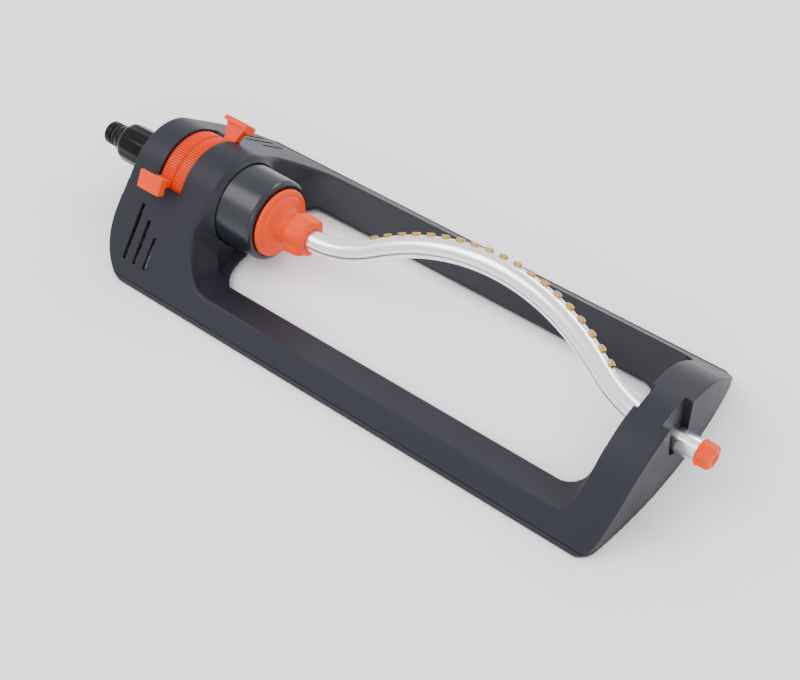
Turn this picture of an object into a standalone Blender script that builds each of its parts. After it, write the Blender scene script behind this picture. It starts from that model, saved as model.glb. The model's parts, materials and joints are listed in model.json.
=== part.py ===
"""Oscillating lawn sprinkler, built from the separate pieces of the real one.

Stations along X are measured from the rear edge of the base, where the hose comes in. The spray
tube, the water motor and the hose connector all lie on one axis, AXIS_HEIGHT above the ground.
"""
import math

import bmesh
import bpy
from mathutils import Vector

MM = 0.001
GAP = 0.3 * MM               # running gap between pieces that touch

# Base moulding
BASE_LENGTH = 396 * MM
BASE_WIDTH = 154.4 * MM
AXIS_HEIGHT = 32.5 * MM
SHELL_WALL = 2.4 * MM
MOTOR_RADIUS = 28.3 * MM
COWL_RADIUS = MOTOR_RADIUS + 3.7 * MM
CROSSBAR_RADIUS = BASE_WIDTH / 2 - 12.2 * MM
CROSSBAR_RISE = 23 * MM      # from the tube's axis to the crossbar's highest line
LIP_WIDTH = 2 * MM
LIP_HEIGHT = 3.4 * MM
REAR_LEAN = 5 * MM
REAR_CORNER = 32 * MM
FRONT_UNDERCUT = 2 * MM
FRONT_BOW = 7.6 * MM
FRONT_CORNER = 10 * MM
RAIL_CREASE = 12.5 * MM      # width of a rail's outer face, seen from above
RAIL_WIDTH = 34.6 * MM
RAIL_FLOOR = 4.9 * MM        # height of the window's lower edge
CREASE_HEIGHT = 14.7 * MM
SHOULDER_HEIGHT = 36 * MM
WINDOW_FRONT_CORNER = 13 * MM
WINDOW_REAR_CORNER = 26 * MM
WINDOW_REAR_EDGE = 21.5 * MM     # half the width of the straight part behind the window
WINDOW_REAR_SPREAD = BASE_WIDTH / 2 - RAIL_WIDTH - WINDOW_REAR_EDGE
CREASE_CORNER = 19 * MM
CREASE_FRONT_CORNER = 10 * MM
RECESS_DEPTH = 7.5 * MM      # under the motor, behind the window's rear edge
RECESS_FLOOR = 8 * MM
RECESS_CORNER = 17 * MM
DRAIN_HALF_WIDTH = 13 * MM   # of the slot in the recess's floor
TALL = 70 * MM               # above everything, for cutters

# Cowl
WINDOW_START = 82 * MM
COWL_FRONT = 67 * MM
COLLAR_FRONT = 75 * MM
COLLAR_RADIUS = COWL_RADIUS + 11 * MM
RING_WIDTH = 9.9 * MM
RING_PITCH = 10.5 * MM
RING_START = 25.8 * MM
RING_INNER = MOTOR_RADIUS + 0.7 * MM
RING_OUTER = RING_INNER + 2 * MM
TAB_ANGLE = math.radians(55)
TAB_REACH = COWL_RADIUS + 10.3 * MM
TAB_LENGTH = 19 * MM
TAB_WIDTH = 11 * MM
TAB_THICK = 3.4 * MM
WEB_THICK = 4.8 * MM
WEB_FOOT = 9.6 * MM          # length of the web where it leaves the ring
SLOT_HALF_ANGLE = TAB_ANGLE + math.asin((WEB_THICK / 2 + GAP) / RING_OUTER)
VENT_WIDTH = 2 * MM
VENT_PITCH = 9.1 * MM
VENT_START = 22.7 * MM
VENT_FOOT = 10.7 * MM        # height of the vents' lower ends
VENT_TOPS = (38.1 * MM, 32.5 * MM, 26.6 * MM)

# Water motor
MOTOR_NOSE_RADIUS = MOTOR_RADIUS - 1.2 * MM
MOTOR_WALL = 2.2 * MM
MOTOR_REAR = 8 * MM
MOTOR_SPLIT = 51 * MM
MOTOR_FACE = 102 * MM
END_WALL = 3 * MM
STUB_RADIUS = 10 * MM
STUB_BORE = 7.3 * MM
STUB_LENGTH = 31 * MM
SHAFT_RADIUS = 5 * MM
SHAFT_BORE = 3.4 * MM

# Gear train: two equal steps, so that the output lies on the turbine's axis
GEAR_MODULE = MOTOR_RADIUS / 40.43
PINION_TEETH = 10
WHEEL_TEETH = 27
GEAR_PLANE = 55 * MM
GEAR_FACE = 3.4 * MM
SPINDLE_RADIUS = 1.5 * MM
PIN_RADIUS = 1.2 * MM
TURBINE_RADIUS = MOTOR_RADIUS - 10.3 * MM
TURBINE_BLADES = 10
TURBINE_START = 29 * MM
TURBINE_WIDTH = 10 * MM
FLOW_PLATE_START = 21 * MM
GEAR_PLATE_START = 43 * MM
PLATE_THICK = 2.5 * MM
FLAP_PIVOT = 7 * MM

# Hose connector
NUT_RADIUS = 13.5 * MM
NUT_LENGTH = 33 * MM
NIPPLE_REACH = 50.9 * MM
NIPPLE_RADIUS = 8 * MM
NIPPLE_BORE = 5 * MM

# Spray tube
TUBE_RADIUS = 7 * MM
TUBE_WALL = 1 * MM
TILT = math.radians(41.6)
ARCH_SLOPE = math.radians(31.8)
BEND_RADIUS = 78 * MM
ARCH_STRAIGHT = 9.7 * MM
SOCKET_FLANGE = MOTOR_RADIUS - 5.6 * MM
SOCKET_LENGTH = 28 * MM
BEND_CLEARANCE = 1.5 * MM
BEARING_RUN = 13.1 * MM      # from the end of the arch to the base's front edge
TUBE_OVERHANG = 12.5 * MM
NOZZLE_COUNT = 19
NOZZLE_PITCH = 9.62 * MM
NOZZLE_RADIUS = 2.7 * MM
NOZZLE_FOOT = TUBE_RADIUS - 1.7 * MM
NOZZLE_TOP = TUBE_RADIUS + 1.6 * MM
NOZZLE_BORE = 0.6 * MM
PLUG_LENGTH = 9 * MM
PLUG_RADIUS = TUBE_RADIUS + 1 * MM
PLUG_STEM = TUBE_RADIUS - TUBE_WALL - 0.8 * MM
PLUG_STEM_LENGTH = 10 * MM    # short enough to stay outside the crossbar
NOTCH_HALF_WIDTH = TUBE_RADIUS + 1.8 * MM
NOTCH_DEPTH = 3 * MM
POCKET_HALF_WIDTH = 11.5 * MM
POCKET_DEPTH = 5 * MM
BUSH_RADIUS = TUBE_RADIUS + 2 * MM
BUSH_RECESS = 2.6 * MM       # of the bush's end behind the crossbar's face

# Worked out from the sizes above
SOCKET_START = MOTOR_FACE + GAP
SOCKET_END = SOCKET_START + SOCKET_LENGTH
TUBE_START = SOCKET_START + 10 * MM
TUBE_END = BASE_LENGTH + TUBE_OVERHANG
ARCH_START = SOCKET_END + BEND_CLEARANCE
ARCH_END = BASE_LENGTH - BEARING_RUN
ARCH_MIDDLE = (ARCH_START + ARCH_END) / 2
HALF_ARCH = (ARCH_END - ARCH_START) / 2
ARCH_RADIUS = (HALF_ARCH - ARCH_STRAIGHT * math.cos(ARCH_SLOPE)) / math.sin(ARCH_SLOPE) - BEND_RADIUS
ARCH_PEAK = ((ARCH_RADIUS + BEND_RADIUS) * (1 - math.cos(ARCH_SLOPE))
             + ARCH_STRAIGHT * math.sin(ARCH_SLOPE))
GEAR_CENTRES = GEAR_MODULE * (PINION_TEETH + WHEEL_TEETH) / 2
PLUG_END = TUBE_END + GAP + PLUG_LENGTH
MIDDLE = (PLUG_END - NIPPLE_REACH) / 2
WINDOW_END = BASE_LENGTH - 38 * MM
CROSSBAR_BACK = BASE_LENGTH - 25 * MM

LOOKS = {
    "base_plastic": ((0.022, 0.0225, 0.03), 0.45, 0.0),
    "motor_plastic": ((0.035, 0.038, 0.045), 0.35, 0.0),
    "orange_plastic": ((0.9, 0.14, 0.02), 0.4, 0.0),
    "black_plastic": ((0.01, 0.01, 0.012), 0.4, 0.0),
    "gear_plastic": ((0.75, 0.74, 0.7), 0.5, 0.0),
    "aluminium": ((0.78, 0.79, 0.8), 0.28, 1.0),
    "brass": ((0.62, 0.43, 0.17), 0.35, 1.0),
    "steel": ((0.6, 0.6, 0.6), 0.3, 1.0),
    "rubber": ((0.02, 0.02, 0.02), 0.8, 0.0),
}


def clear_scene():
    """Remove whatever the file holds."""
    for thing in list(bpy.data.objects):
        bpy.data.objects.remove(thing)


def look(name):
    """The Principled material of that name, made once."""
    if name in bpy.data.materials:
        return bpy.data.materials[name]
    colour, roughness, metallic = LOOKS[name]
    material = bpy.data.materials.new(name)
    material.use_nodes = True
    shader = material.node_tree.nodes["Principled BSDF"]
    shader.inputs["Base Color"].default_value = (*colour, 1)
    shader.inputs["Roughness"].default_value = roughness
    shader.inputs["Metallic"].default_value = metallic
    return material


def empty(name, place, parent=None, tilt=0.0):
    """A named frame that pieces hang from."""
    frame = bpy.data.objects.new(name, None)
    frame.location = place
    frame.rotation_euler = (tilt, 0, 0)
    frame.parent = parent
    bpy.context.scene.collection.objects.link(frame)
    return frame


def add(name, mesh, material, parent):
    """Link a mesh as a named object; a guide has no material and stays out of the build."""
    piece = bpy.data.objects.new(name, mesh)
    piece.parent = parent
    bpy.context.scene.collection.objects.link(piece)
    if material is None:
        piece.hide_render = True
        piece.display_type = "WIRE"
    elif not mesh.materials:
        mesh.materials.append(look(material))
    return piece


def skin(name, loops, material, parent, ring=False):
    """Cover a row of loops of points; a loop of one point is a pole, a ring joins last to first."""
    count = max(len(loop) for loop in loops)
    points = []
    rows = []
    for loop in loops:
        first = len(points)
        points.extend(loop)
        rows.append([first] * count if len(loop) == 1 else list(range(first, first + count)))
    faces = []
    for row, after in zip(rows, rows[1:] + rows[:1] if ring else rows[1:]):
        for i in range(count):
            j = (i + 1) % count
            faces.append(list(dict.fromkeys((row[i], row[j], after[j], after[i]))))
    if not ring:
        faces.extend(row for row in (rows[0], rows[-1]) if row[0] != row[-1])
    mesh = bpy.data.meshes.new(name)
    mesh.from_pydata(points, [], faces)
    shape = bmesh.new()
    shape.from_mesh(mesh)
    bmesh.ops.recalc_face_normals(shape, faces=shape.faces)
    shape.to_mesh(mesh)
    shape.free()
    mesh.shade_smooth()
    mesh.set_sharp_from_angle(angle=math.radians(35))
    return add(name, mesh, material, parent)


def circle(x, radius, sides, centre=(0, 0), lobes=0, depth=0.0, phase=0.0):
    """A loop round the X direction, fluted if it has lobes; a zero radius gives a pole."""
    if radius == 0:
        return [(x, *centre)]
    loop = []
    for i in range(sides):
        angle = phase + 2 * math.pi * i / sides
        reach = radius - depth * (0.5 - 0.5 * math.cos(lobes * angle))
        loop.append((x, centre[0] + reach * math.cos(angle), centre[1] + reach * math.sin(angle)))
    return loop


def turned(name, profile, material, parent, sides=24, centre=(0, 0)):
    """Turn (x, radius) points round the X direction; a profile off the axis closes on itself."""
    loops = [circle(x, radius, sides, centre) for x, radius in profile]
    return skin(name, loops, material, parent, ring=profile[0][1] > 0)


def bar(x0, x1, radius):
    """The profile of a plain round bar."""
    return [(x0, 0), (x0, radius), (x1, radius), (x1, 0)]


def sleeve(x0, x1, inner, outer):
    """The profile of a plain ring."""
    return [(x0, inner), (x0, outer), (x1, outer), (x1, inner)]


def prism(name, outline, x0, x1, material, parent):
    """Push a (y, z) outline along X."""
    return skin(name, [[(x, y, z) for y, z in outline] for x in (x0, x1)], material, parent)


def block(name, low, high, material, parent):
    """A box between two corners."""
    outline = [(low[1], low[2]), (high[1], low[2]), (high[1], high[2]), (low[1], high[2])]
    return prism(name, outline, low[0], high[0], material, parent)


def upright(name, x, y, z0, z1, radius, parent, sides=16):
    """A vertical round guide."""
    loops = []
    for z in (z0, z1):
        turns = (2 * math.pi * i / sides for i in range(sides))
        loops.append([(x + radius * math.cos(a), y + radius * math.sin(a), z) for a in turns])
    return skin(name, loops, None, parent)


def combine(piece, other, operation="DIFFERENCE"):
    """Cut, join or intersect with a guide."""
    step = piece.modifiers.new(other.name, "BOOLEAN")
    step.operation = operation
    step.object = other
    other.hide_render = True
    other.display_type = "WIRE"


def arc(radius, start, end, steps, centre=(0, 0)):
    """Points on an arc; angles run from the first axis to the second."""
    points = []
    for i in range(steps + 1):
        angle = start + (end - start) * i / steps
        points.append((centre[0] + radius * math.cos(angle), centre[1] + radius * math.sin(angle)))
    return points


# Base ------------------------------------------------------------------------------------------

def arch_section(radius, centre_z, inset=0.0):
    """Half round back with straight flanks that run down to the lip, seen along X."""
    foot_y = BASE_WIDTH / 2 - LIP_WIDTH
    reach = math.hypot(foot_y, LIP_HEIGHT - centre_z)
    lean = math.asin(radius / reach) - math.atan2(LIP_HEIGHT - centre_z, foot_y)
    half = [(math.sin(a), math.cos(a)) for a in (lean * i / 10 for i in range(10, -1, -1))]
    half = [((radius - inset) * y, centre_z + (radius - inset) * z) for y, z in half]
    if inset:
        floor = -2 * SHELL_WALL
        low_y = (radius - inset - (floor - centre_z) * math.cos(lean)) / math.sin(lean)
        feet = [(low_y, floor)]
    else:
        side = BASE_WIDTH / 2
        feet = [(side, 0), (side, LIP_HEIGHT * 0.7), (foot_y, LIP_HEIGHT)]
    half = feet + half
    return half + [(-y, z) for y, z in reversed(half[:-1])]


def arch_body(name, parent, inset=0.0):
    """The length of the base: the cowl's section, running over into the crossbar's."""
    cowl = arch_section(COWL_RADIUS, AXIS_HEIGHT, inset)
    crossbar_centre = AXIS_HEIGHT + CROSSBAR_RISE - CROSSBAR_RADIUS
    crossbar = arch_section(CROSSBAR_RADIUS, crossbar_centre, inset)
    stations = ((-REAR_LEAN, cowl), (COWL_FRONT, cowl), (CROSSBAR_BACK, crossbar),
                (BASE_LENGTH + REAR_LEAN, crossbar))
    loops = [[(x, y, z) for y, z in section] for x, section in stations]
    return skin(name, loops, None if inset else "base_plastic", parent)


def plan_outline(z, inset=0.0):
    """The base's outline seen from above at height z, with round corners and a bowed front."""
    rise = z / (AXIS_HEIGHT + COWL_RADIUS)
    rear = REAR_LEAN * rise + inset
    tuck = 1 - z / (AXIS_HEIGHT + CROSSBAR_RISE)
    front = BASE_LENGTH - FRONT_UNDERCUT * tuck - inset
    side = BASE_WIDTH / 2 + SHELL_WALL / 4 - inset
    quarter = math.pi / 2
    half = [(front, side * share) for share in (0.0, 0.3, 0.6, 0.8)]
    for radius, x, sign in ((FRONT_CORNER, front, 1), (REAR_CORNER, rear, -1)):
        centre = (x - sign * radius, side - radius)
        start = 0 if sign > 0 else quarter
        half.extend(arc(radius, start, start + quarter, 3 if sign > 0 else 8, centre))
    loop = half + [(x, -y) for x, y in reversed(half[1:])]
    bow = FRONT_BOW * max(tuck, 0)
    return [(x - bow * (y / side) ** 2 if x > BASE_LENGTH / 2 else x, y, z) for x, y in loop]


def plan_body(name, parent, inset=0.0):
    """An upright guide with the base's outline seen from above."""
    loops = [plan_outline(-3 * SHELL_WALL, inset), plan_outline(TALL, inset)]
    return skin(name, loops, None, parent)


def window_outline(z, start, end, side, rear, front, spread=None):
    """A rectangle with round corners at height z; spread cuts the rear corners' arcs short."""
    quarter = math.pi / 2
    spread = rear if spread is None else spread
    half = arc(front, 0, quarter, 8, (end - front, side - front))
    turn = math.asin(spread / rear)
    half += arc(rear, math.pi - turn, math.pi, 8, (start + rear, side - spread))
    return [(x, y, z) for x, y in half + [(x, -y) for x, y in reversed(half)]]


def window_foot(z, wall):
    """The window's lower edge at height z, a wall further out."""
    return window_outline(z, WINDOW_START - wall, WINDOW_END + wall, BASE_WIDTH / 2 - RAIL_WIDTH,
                          WINDOW_REAR_CORNER, WINDOW_FRONT_CORNER, WINDOW_REAR_SPREAD)


def window_body(name, parent, wall=0.0):
    """The open window with its sloping sides, or the same a wall further out and lower."""
    drop = 1.12 * wall
    crease = BASE_WIDTH / 2 - RAIL_CREASE
    start = WINDOW_START - wall
    back = COWL_FRONT - wall
    front = CROSSBAR_BACK - 1 * MM + wall
    slope = (CREASE_HEIGHT - RAIL_FLOOR) / (SHOULDER_HEIGHT - RAIL_FLOOR)
    corner = CREASE_CORNER
    sharper = CREASE_FRONT_CORNER / 2
    loops = [
        window_foot(RAIL_FLOOR - drop, wall),
        window_outline(CREASE_HEIGHT - drop, start + (back - start) * slope, front - 3 * MM,
                       crease, corner, CREASE_FRONT_CORNER),
        window_outline(SHOULDER_HEIGHT - drop, back, front, crease, corner, sharper),
        window_outline(TALL, back + 1.5 * MM, front + 2.5 * MM, crease, corner, sharper),
    ]
    if not wall:
        loops.insert(0, window_foot(-RAIL_FLOOR, wall))
    return skin(name, loops, None, parent)


def recess_body(name, parent, wall=0.0):
    """The upright-sided recess behind the window's rear edge, or the same a wall further out."""
    drop = 1.12 * wall
    side = BASE_WIDTH / 2 - RAIL_WIDTH
    start = WINDOW_START - RECESS_DEPTH - wall
    end = WINDOW_END + wall
    low = window_foot(RAIL_FLOOR - drop, wall)
    high = [window_outline(z, start, end, side + wall, RECESS_CORNER, WINDOW_FRONT_CORNER)
            for z in (RECESS_FLOOR - drop, TALL)]
    return skin(name, [low] + high, None, parent)


def collar_body(parent):
    """The hollow-sided collar where the cowl meets the motor."""
    root = MOTOR_RADIUS + GAP
    profile = [(COLLAR_FRONT, 0)]
    for step in range(7):
        share = step / 6
        profile.append((COLLAR_FRONT - (COLLAR_FRONT - COWL_FRONT) * math.sin(share * math.pi / 2),
                        root + (COLLAR_RADIUS - root) * share ** 1.6))
    profile += [(MOTOR_SPLIT, COLLAR_RADIUS), (MOTOR_SPLIT, 0)]
    return turned("guide_collar", profile, None, parent, sides=48)


def vent_body(name, x, top, side, parent):
    """A slot with round ends, square to the cowl's flank."""
    flank = math.radians(45)
    foot_y = AXIS_HEIGHT + COWL_RADIUS * math.sqrt(2) - VENT_FOOT
    length = (top - VENT_FOOT) / math.sin(flank)
    half = VENT_WIDTH / 2
    outline = arc(half, 0, math.pi, 6, (0, length - half))
    outline += arc(half, math.pi, 2 * math.pi, 6, (0, half))
    along = Vector((0, -side * math.cos(flank), math.sin(flank)))
    out = Vector((0, side * math.sin(flank), math.cos(flank)))
    foot = Vector((x, side * foot_y, VENT_FOOT))
    loops = []
    for depth in (-3 * SHELL_WALL, 2 * SHELL_WALL):
        loops.append([foot + Vector((px, 0, 0)) + along * pz + out * depth for px, pz in outline])
    return skin(name, loops, None, parent)


def slot_body(parent):
    """The sector of the cowl that is open over the range rings."""
    up = math.pi / 2
    outline = arc(RING_OUTER + 9 * MM, up - SLOT_HALF_ANGLE, up + SLOT_HALF_ANGLE, 24)
    outline += arc(RING_INNER - 2 * MM, up + SLOT_HALF_ANGLE, up - SLOT_HALF_ANGLE, 24)
    start = RING_START - 2 * GAP
    end = RING_START + RING_PITCH + RING_WIDTH + 2 * GAP
    return prism("guide_slot", outline, start, end, None, parent)


def channel(name, radius, x0, x1, rise, parent, flare=0.0):
    """A U-shaped guide round the axis: open upwards if rise is positive, else downwards."""
    turn = math.pi if rise > 0 else 0
    outline = arc(radius, turn, turn + math.pi, 20)
    outline += [(math.copysign(radius + flare, outline[-1][0]), rise),
                (math.copysign(radius + flare, outline[0][0]), rise)]
    return prism(name, outline, x0, x1, None, parent)


def build_base(ground, axis):
    """The one-piece base: cowl, two side rails and crossbar."""
    base = arch_body("base_shell", ground)
    combine(base, plan_body("guide_plan", ground), "INTERSECT")
    window = window_body("guide_window", ground)
    combine(window, collar_body(axis))
    combine(base, window)
    combine(base, recess_body("guide_recess", ground))

    hollow = arch_body("guide_hollow", ground, SHELL_WALL)
    combine(hollow, plan_body("guide_hollow_plan", ground, SHELL_WALL), "INTERSECT")
    combine(hollow, window_body("guide_hollow_window", ground, SHELL_WALL))
    combine(hollow, recess_body("guide_hollow_recess", ground, SHELL_WALL))
    bearing = block("guide_bearing_block", (BASE_LENGTH - 10 * MM, -14.5 * MM, AXIS_HEIGHT - 15 * MM),
                    (BASE_LENGTH + 9 * MM, 14.5 * MM, TALL), None, ground)
    combine(hollow, bearing)
    combine(base, hollow)

    strap_x = MOTOR_REAR + 7 * MM
    for side in (1, -1):
        boss = upright(f"guide_boss_{side}", strap_x, side * 38 * MM, AXIS_HEIGHT - 12.5 * MM,
                       AXIS_HEIGHT + 5 * MM, 3.6 * MM, ground)
        combine(base, boss, "UNION")
        hole = upright(f"guide_boss_hole_{side}", strap_x, side * 38 * MM, 0, AXIS_HEIGHT - 1 * MM,
                       PIN_RADIUS + GAP, ground)
        combine(base, hole)
        for i, top in enumerate(VENT_TOPS):
            x = VENT_START + VENT_PITCH * i
            combine(base, vent_body(f"guide_vent_{i}_{side}", x, top, side, ground))

    combine(base, slot_body(axis))
    groove = bar(RING_START - 2 * GAP, RING_START + RING_PITCH + RING_WIDTH + 2 * GAP,
                 RING_OUTER + 0.4 * MM)
    combine(base, turned("guide_groove", groove, None, axis, sides=48))
    seat = bar(MOTOR_SPLIT, MOTOR_FACE, MOTOR_RADIUS + GAP)
    combine(base, turned("guide_motor", seat, None, axis, sides=48))
    drain = block("guide_drain", (MOTOR_SPLIT, -DRAIN_HALF_WIDTH, -RAIL_FLOOR),
                  (WINDOW_START + RECESS_DEPTH, DRAIN_HALF_WIDTH, AXIS_HEIGHT), None, ground)
    combine(base, drain)
    inlet = turned("guide_inlet", bar(-9 * MM, MOTOR_REAR + 9 * MM, STUB_RADIUS + 2 * GAP), None, axis)
    combine(base, inlet)
    combine(base, channel("guide_notch", NOTCH_HALF_WIDTH, WINDOW_END - 9 * MM,
                          CROSSBAR_BACK + NOTCH_DEPTH, AXIS_HEIGHT + 9 * MM, axis))
    combine(base, channel("guide_pocket", BUSH_RADIUS + 2 * GAP, BASE_LENGTH - POCKET_DEPTH,
                          BASE_LENGTH + 9 * MM, AXIS_HEIGHT, axis,
                          flare=POCKET_HALF_WIDTH - BUSH_RADIUS))
    bearing_hole = turned("guide_bearing", bar(BASE_LENGTH - 15 * MM, BASE_LENGTH + 5 * MM,
                                               BUSH_RADIUS + GAP), None, axis)
    combine(base, bearing_hole)


def build_strap(axis, ground):
    """The saddle that holds the motor up against the cowl, and its two screws."""
    inner = MOTOR_RADIUS + GAP
    outer = inner + 2.4 * MM
    top = -12.8 * MM
    under = top - 2.6 * MM
    ear = 42 * MM
    inner_turn = math.asin(-top / inner)
    outer_turn = math.asin(-under / outer)
    outline = arc(inner, inner_turn - math.pi, -inner_turn, 16)
    outline += [(ear, top), (ear, under)]
    outline += arc(outer, -outer_turn, outer_turn - math.pi, 16)
    outline += [(-ear, under), (-ear, top)]
    middle = MOTOR_REAR + 7 * MM
    strap = prism("housing_strap", outline, middle - 4 * MM, middle + 4 * MM, "motor_plastic", axis)
    for number, side in enumerate((1, -1), start=1):
        hole = upright(f"guide_strap_hole_{number}", middle, side * 38 * MM, 0, AXIS_HEIGHT,
                       PIN_RADIUS + GAP, ground)
        combine(strap, hole)
        head = 2.2 * MM
        profile = [(0, 0), (0, 2.2 * PIN_RADIUS), (head, 2.2 * PIN_RADIUS), (head, PIN_RADIUS),
                   (head + 11 * MM, PIN_RADIUS), (head + 12 * MM, 0)]
        screw = turned(f"strap_screw_{number}", profile, "steel", ground, sides=12)
        screw.location = (middle, side * 38 * MM, AXIS_HEIGHT + under - GAP - head)
        screw.rotation_euler = (0, -math.pi / 2, 0)


# Range rings -----------------------------------------------------------------------------------

def build_range_ring(name, start, side, pivot):
    """A flat ring, the tab that the hand pushes, and the web between them through the slot."""
    ring = turned(name, sleeve(start, start + RING_WIDTH, RING_INNER, RING_OUTER),
                  "orange_plastic", pivot, sides=40)
    turn = math.pi / 2 + side * TAB_ANGLE
    out = Vector((0, math.cos(turn), math.sin(turn)))
    across = Vector((0, -out.z, out.y)) * -side
    middle = start + RING_WIDTH / 2

    def slab(label, outline, thick):
        """An (x, radius) outline made thick across the tab's direction."""
        loops = []
        for y in (-thick / 2, thick / 2):
            loops.append([Vector((middle + x, 0, 0)) + across * y + out * z for x, z in outline])
        return skin(f"guide_{name}_{label}", loops, None, pivot)

    half = TAB_LENGTH / 2
    foot = WEB_FOOT / 2
    web = [(-foot, RING_OUTER - 1 * MM), (foot, RING_OUTER - 1 * MM), (foot, COWL_RADIUS + 1 * MM),
           (half - 2 * MM, TAB_REACH), (half - 2 * MM, TAB_REACH + 1 * MM),
           (1 * MM - half, TAB_REACH + 1 * MM), (1 * MM - half, TAB_REACH),
           (-foot, COWL_RADIUS + 1 * MM)]
    hook = TAB_REACH - 2 * MM
    top = TAB_REACH + TAB_THICK
    plate = [(-half, TAB_REACH), (half - 2 * MM, TAB_REACH), (half - 2 * MM, hook), (half, hook),
             (half, top), (-half, top)]
    combine(ring, slab("web", web, WEB_THICK), "UNION")
    combine(ring, slab("plate", plate, TAB_WIDTH), "UNION")


# Water motor -----------------------------------------------------------------------------------

def build_housings(axis):
    """The two halves of the motor's case."""
    inner = MOTOR_RADIUS - MOTOR_WALL
    seam = MOTOR_SPLIT - GAP / 2
    rear = [(seam, inner), (seam, MOTOR_RADIUS), (MOTOR_REAR + 1 * MM, MOTOR_RADIUS),
            (MOTOR_REAR, MOTOR_RADIUS - 1 * MM), (MOTOR_REAR, STUB_RADIUS),
            (MOTOR_REAR - STUB_LENGTH, STUB_RADIUS), (MOTOR_REAR - STUB_LENGTH, STUB_BORE),
            (MOTOR_REAR + END_WALL, STUB_BORE), (MOTOR_REAR + END_WALL, inner)]
    turned("rear_housing", rear, "motor_plastic", axis, sides=36)
    seam = MOTOR_SPLIT + GAP / 2
    hole = SHAFT_RADIUS + 1.6 * MM + 2 * GAP
    rim = 3.2 * MM
    front = [(seam, inner), (MOTOR_FACE - END_WALL, inner - 1 * MM), (MOTOR_FACE - END_WALL, hole),
             (MOTOR_FACE, hole)]
    nose = arc(rim, 0, math.pi / 2, 5, (MOTOR_FACE - rim, MOTOR_NOSE_RADIUS - rim))
    front += nose + [(seam, MOTOR_RADIUS)]
    turned("front_housing", front, "motor_plastic", axis, sides=36)


def build_inlet(axis):
    """Filter in the inlet stub, and the plate with the two jets and the flap's pin."""
    stub_end = MOTOR_REAR - STUB_LENGTH
    body = STUB_BORE - GAP
    thin = 0.8 * MM
    rim = stub_end + 1 * MM
    bottom = stub_end + 20 * MM
    cup = [(bottom - thin, 0), (bottom - thin, body - thin - 1 * MM), (rim, body - thin), (rim, body),
           (bottom, body - 1 * MM), (bottom, 0)]
    loops = [circle(x, radius, 20) for x, radius in cup]
    skin("inlet_filter", loops, "gear_plastic", axis)

    plate_end = FLOW_PLATE_START + PLATE_THICK
    fit = MOTOR_RADIUS - MOTOR_WALL - GAP
    plate = turned("flow_plate", sleeve(FLOW_PLATE_START, plate_end, SPINDLE_RADIUS + GAP, fit),
                   "gear_plastic", axis, sides=24)
    for side in (1, -1):
        jet = turned(f"guide_jet_{side}", bar(FLOW_PLATE_START - 2 * MM, plate_end + 2 * MM, 2.2 * MM),
                     None, axis, sides=12, centre=(side * 8 * MM, -6 * MM))
        combine(plate, jet)
    pin = bar(FLOW_PLATE_START - 8 * MM, FLOW_PLATE_START + 1 * MM, PIN_RADIUS)
    combine(plate, turned("guide_flap_pin", pin, None, axis, sides=12, centre=(0, FLAP_PIVOT)), "UNION")


def build_flap(pivot):
    """The flap that closes one jet, hung on its pin, with the pin's axis as origin."""
    end = FLOW_PLATE_START - GAP
    start = end - 2 * MM
    hub = 3.4 * MM
    blade = [(hub * 0.9, -1.5 * MM), (5.5 * MM, -12 * MM), (4.5 * MM, -16 * MM), (-4.5 * MM, -16 * MM),
             (-5.5 * MM, -12 * MM), (-hub * 0.9, -1.5 * MM)]
    flap = prism("reversing_flap", blade, start, end, "gear_plastic", pivot)
    boss = turned("guide_flap_boss", bar(start, end, hub), None, pivot, sides=24)
    combine(flap, boss, "UNION")
    hole = bar(start - 1 * MM, end + 1 * MM, PIN_RADIUS + GAP)
    combine(flap, turned("guide_flap_hole", hole, None, pivot, sides=16))


def build_flap_spring(axis):
    """A coil round the flap's pin."""
    wire = 0.35 * MM
    coil = PIN_RADIUS + wire + 2 * GAP
    turns, steps, sides = 3, 12, 6
    start = FLOW_PLATE_START - 7.6 * MM
    length = 4.2 * MM
    loops = []
    for i in range(turns * steps + 1):
        angle = 2 * math.pi * i / steps
        out = Vector((0, math.cos(angle), math.sin(angle)))
        middle = Vector((start + length * i / (turns * steps), 0, FLAP_PIVOT)) + out * coil
        ring = []
        for k in range(sides):
            turn = 2 * math.pi * k / sides
            ring.append(middle + (out * math.cos(turn) + Vector((1, 0, 0)) * math.sin(turn)) * wire)
        loops.append(ring)
    skin("flap_spring", loops, "steel", axis)


def toothed(x, teeth, pitch_radius, tooth, phase):
    """A loop of teeth: four points to each tooth, thinner than its gap so that it runs free."""
    loop = []
    for i in range(teeth):
        for share, reach in ((-0.30, -1.25), (-0.09, 0.8), (0.09, 0.8), (0.30, -1.25)):
            angle = phase + 2 * math.pi * (i + share) / teeth
            radius = pitch_radius + reach * tooth
            loop.append((x, radius * math.cos(angle), radius * math.sin(angle)))
    return loop


def gear(name, x0, x1, teeth, bore, material, parent, phase=0.0):
    """A spur gear with a round bore."""
    radius = GEAR_MODULE * teeth / 2
    outer = [toothed(x, teeth, radius, GEAR_MODULE, phase) for x in (x0, x1)]
    inner = [circle(x, bore, 4 * teeth, phase=phase) for x in (x1, x0)]
    return skin(name, outer + inner, material, parent, ring=True)


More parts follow.
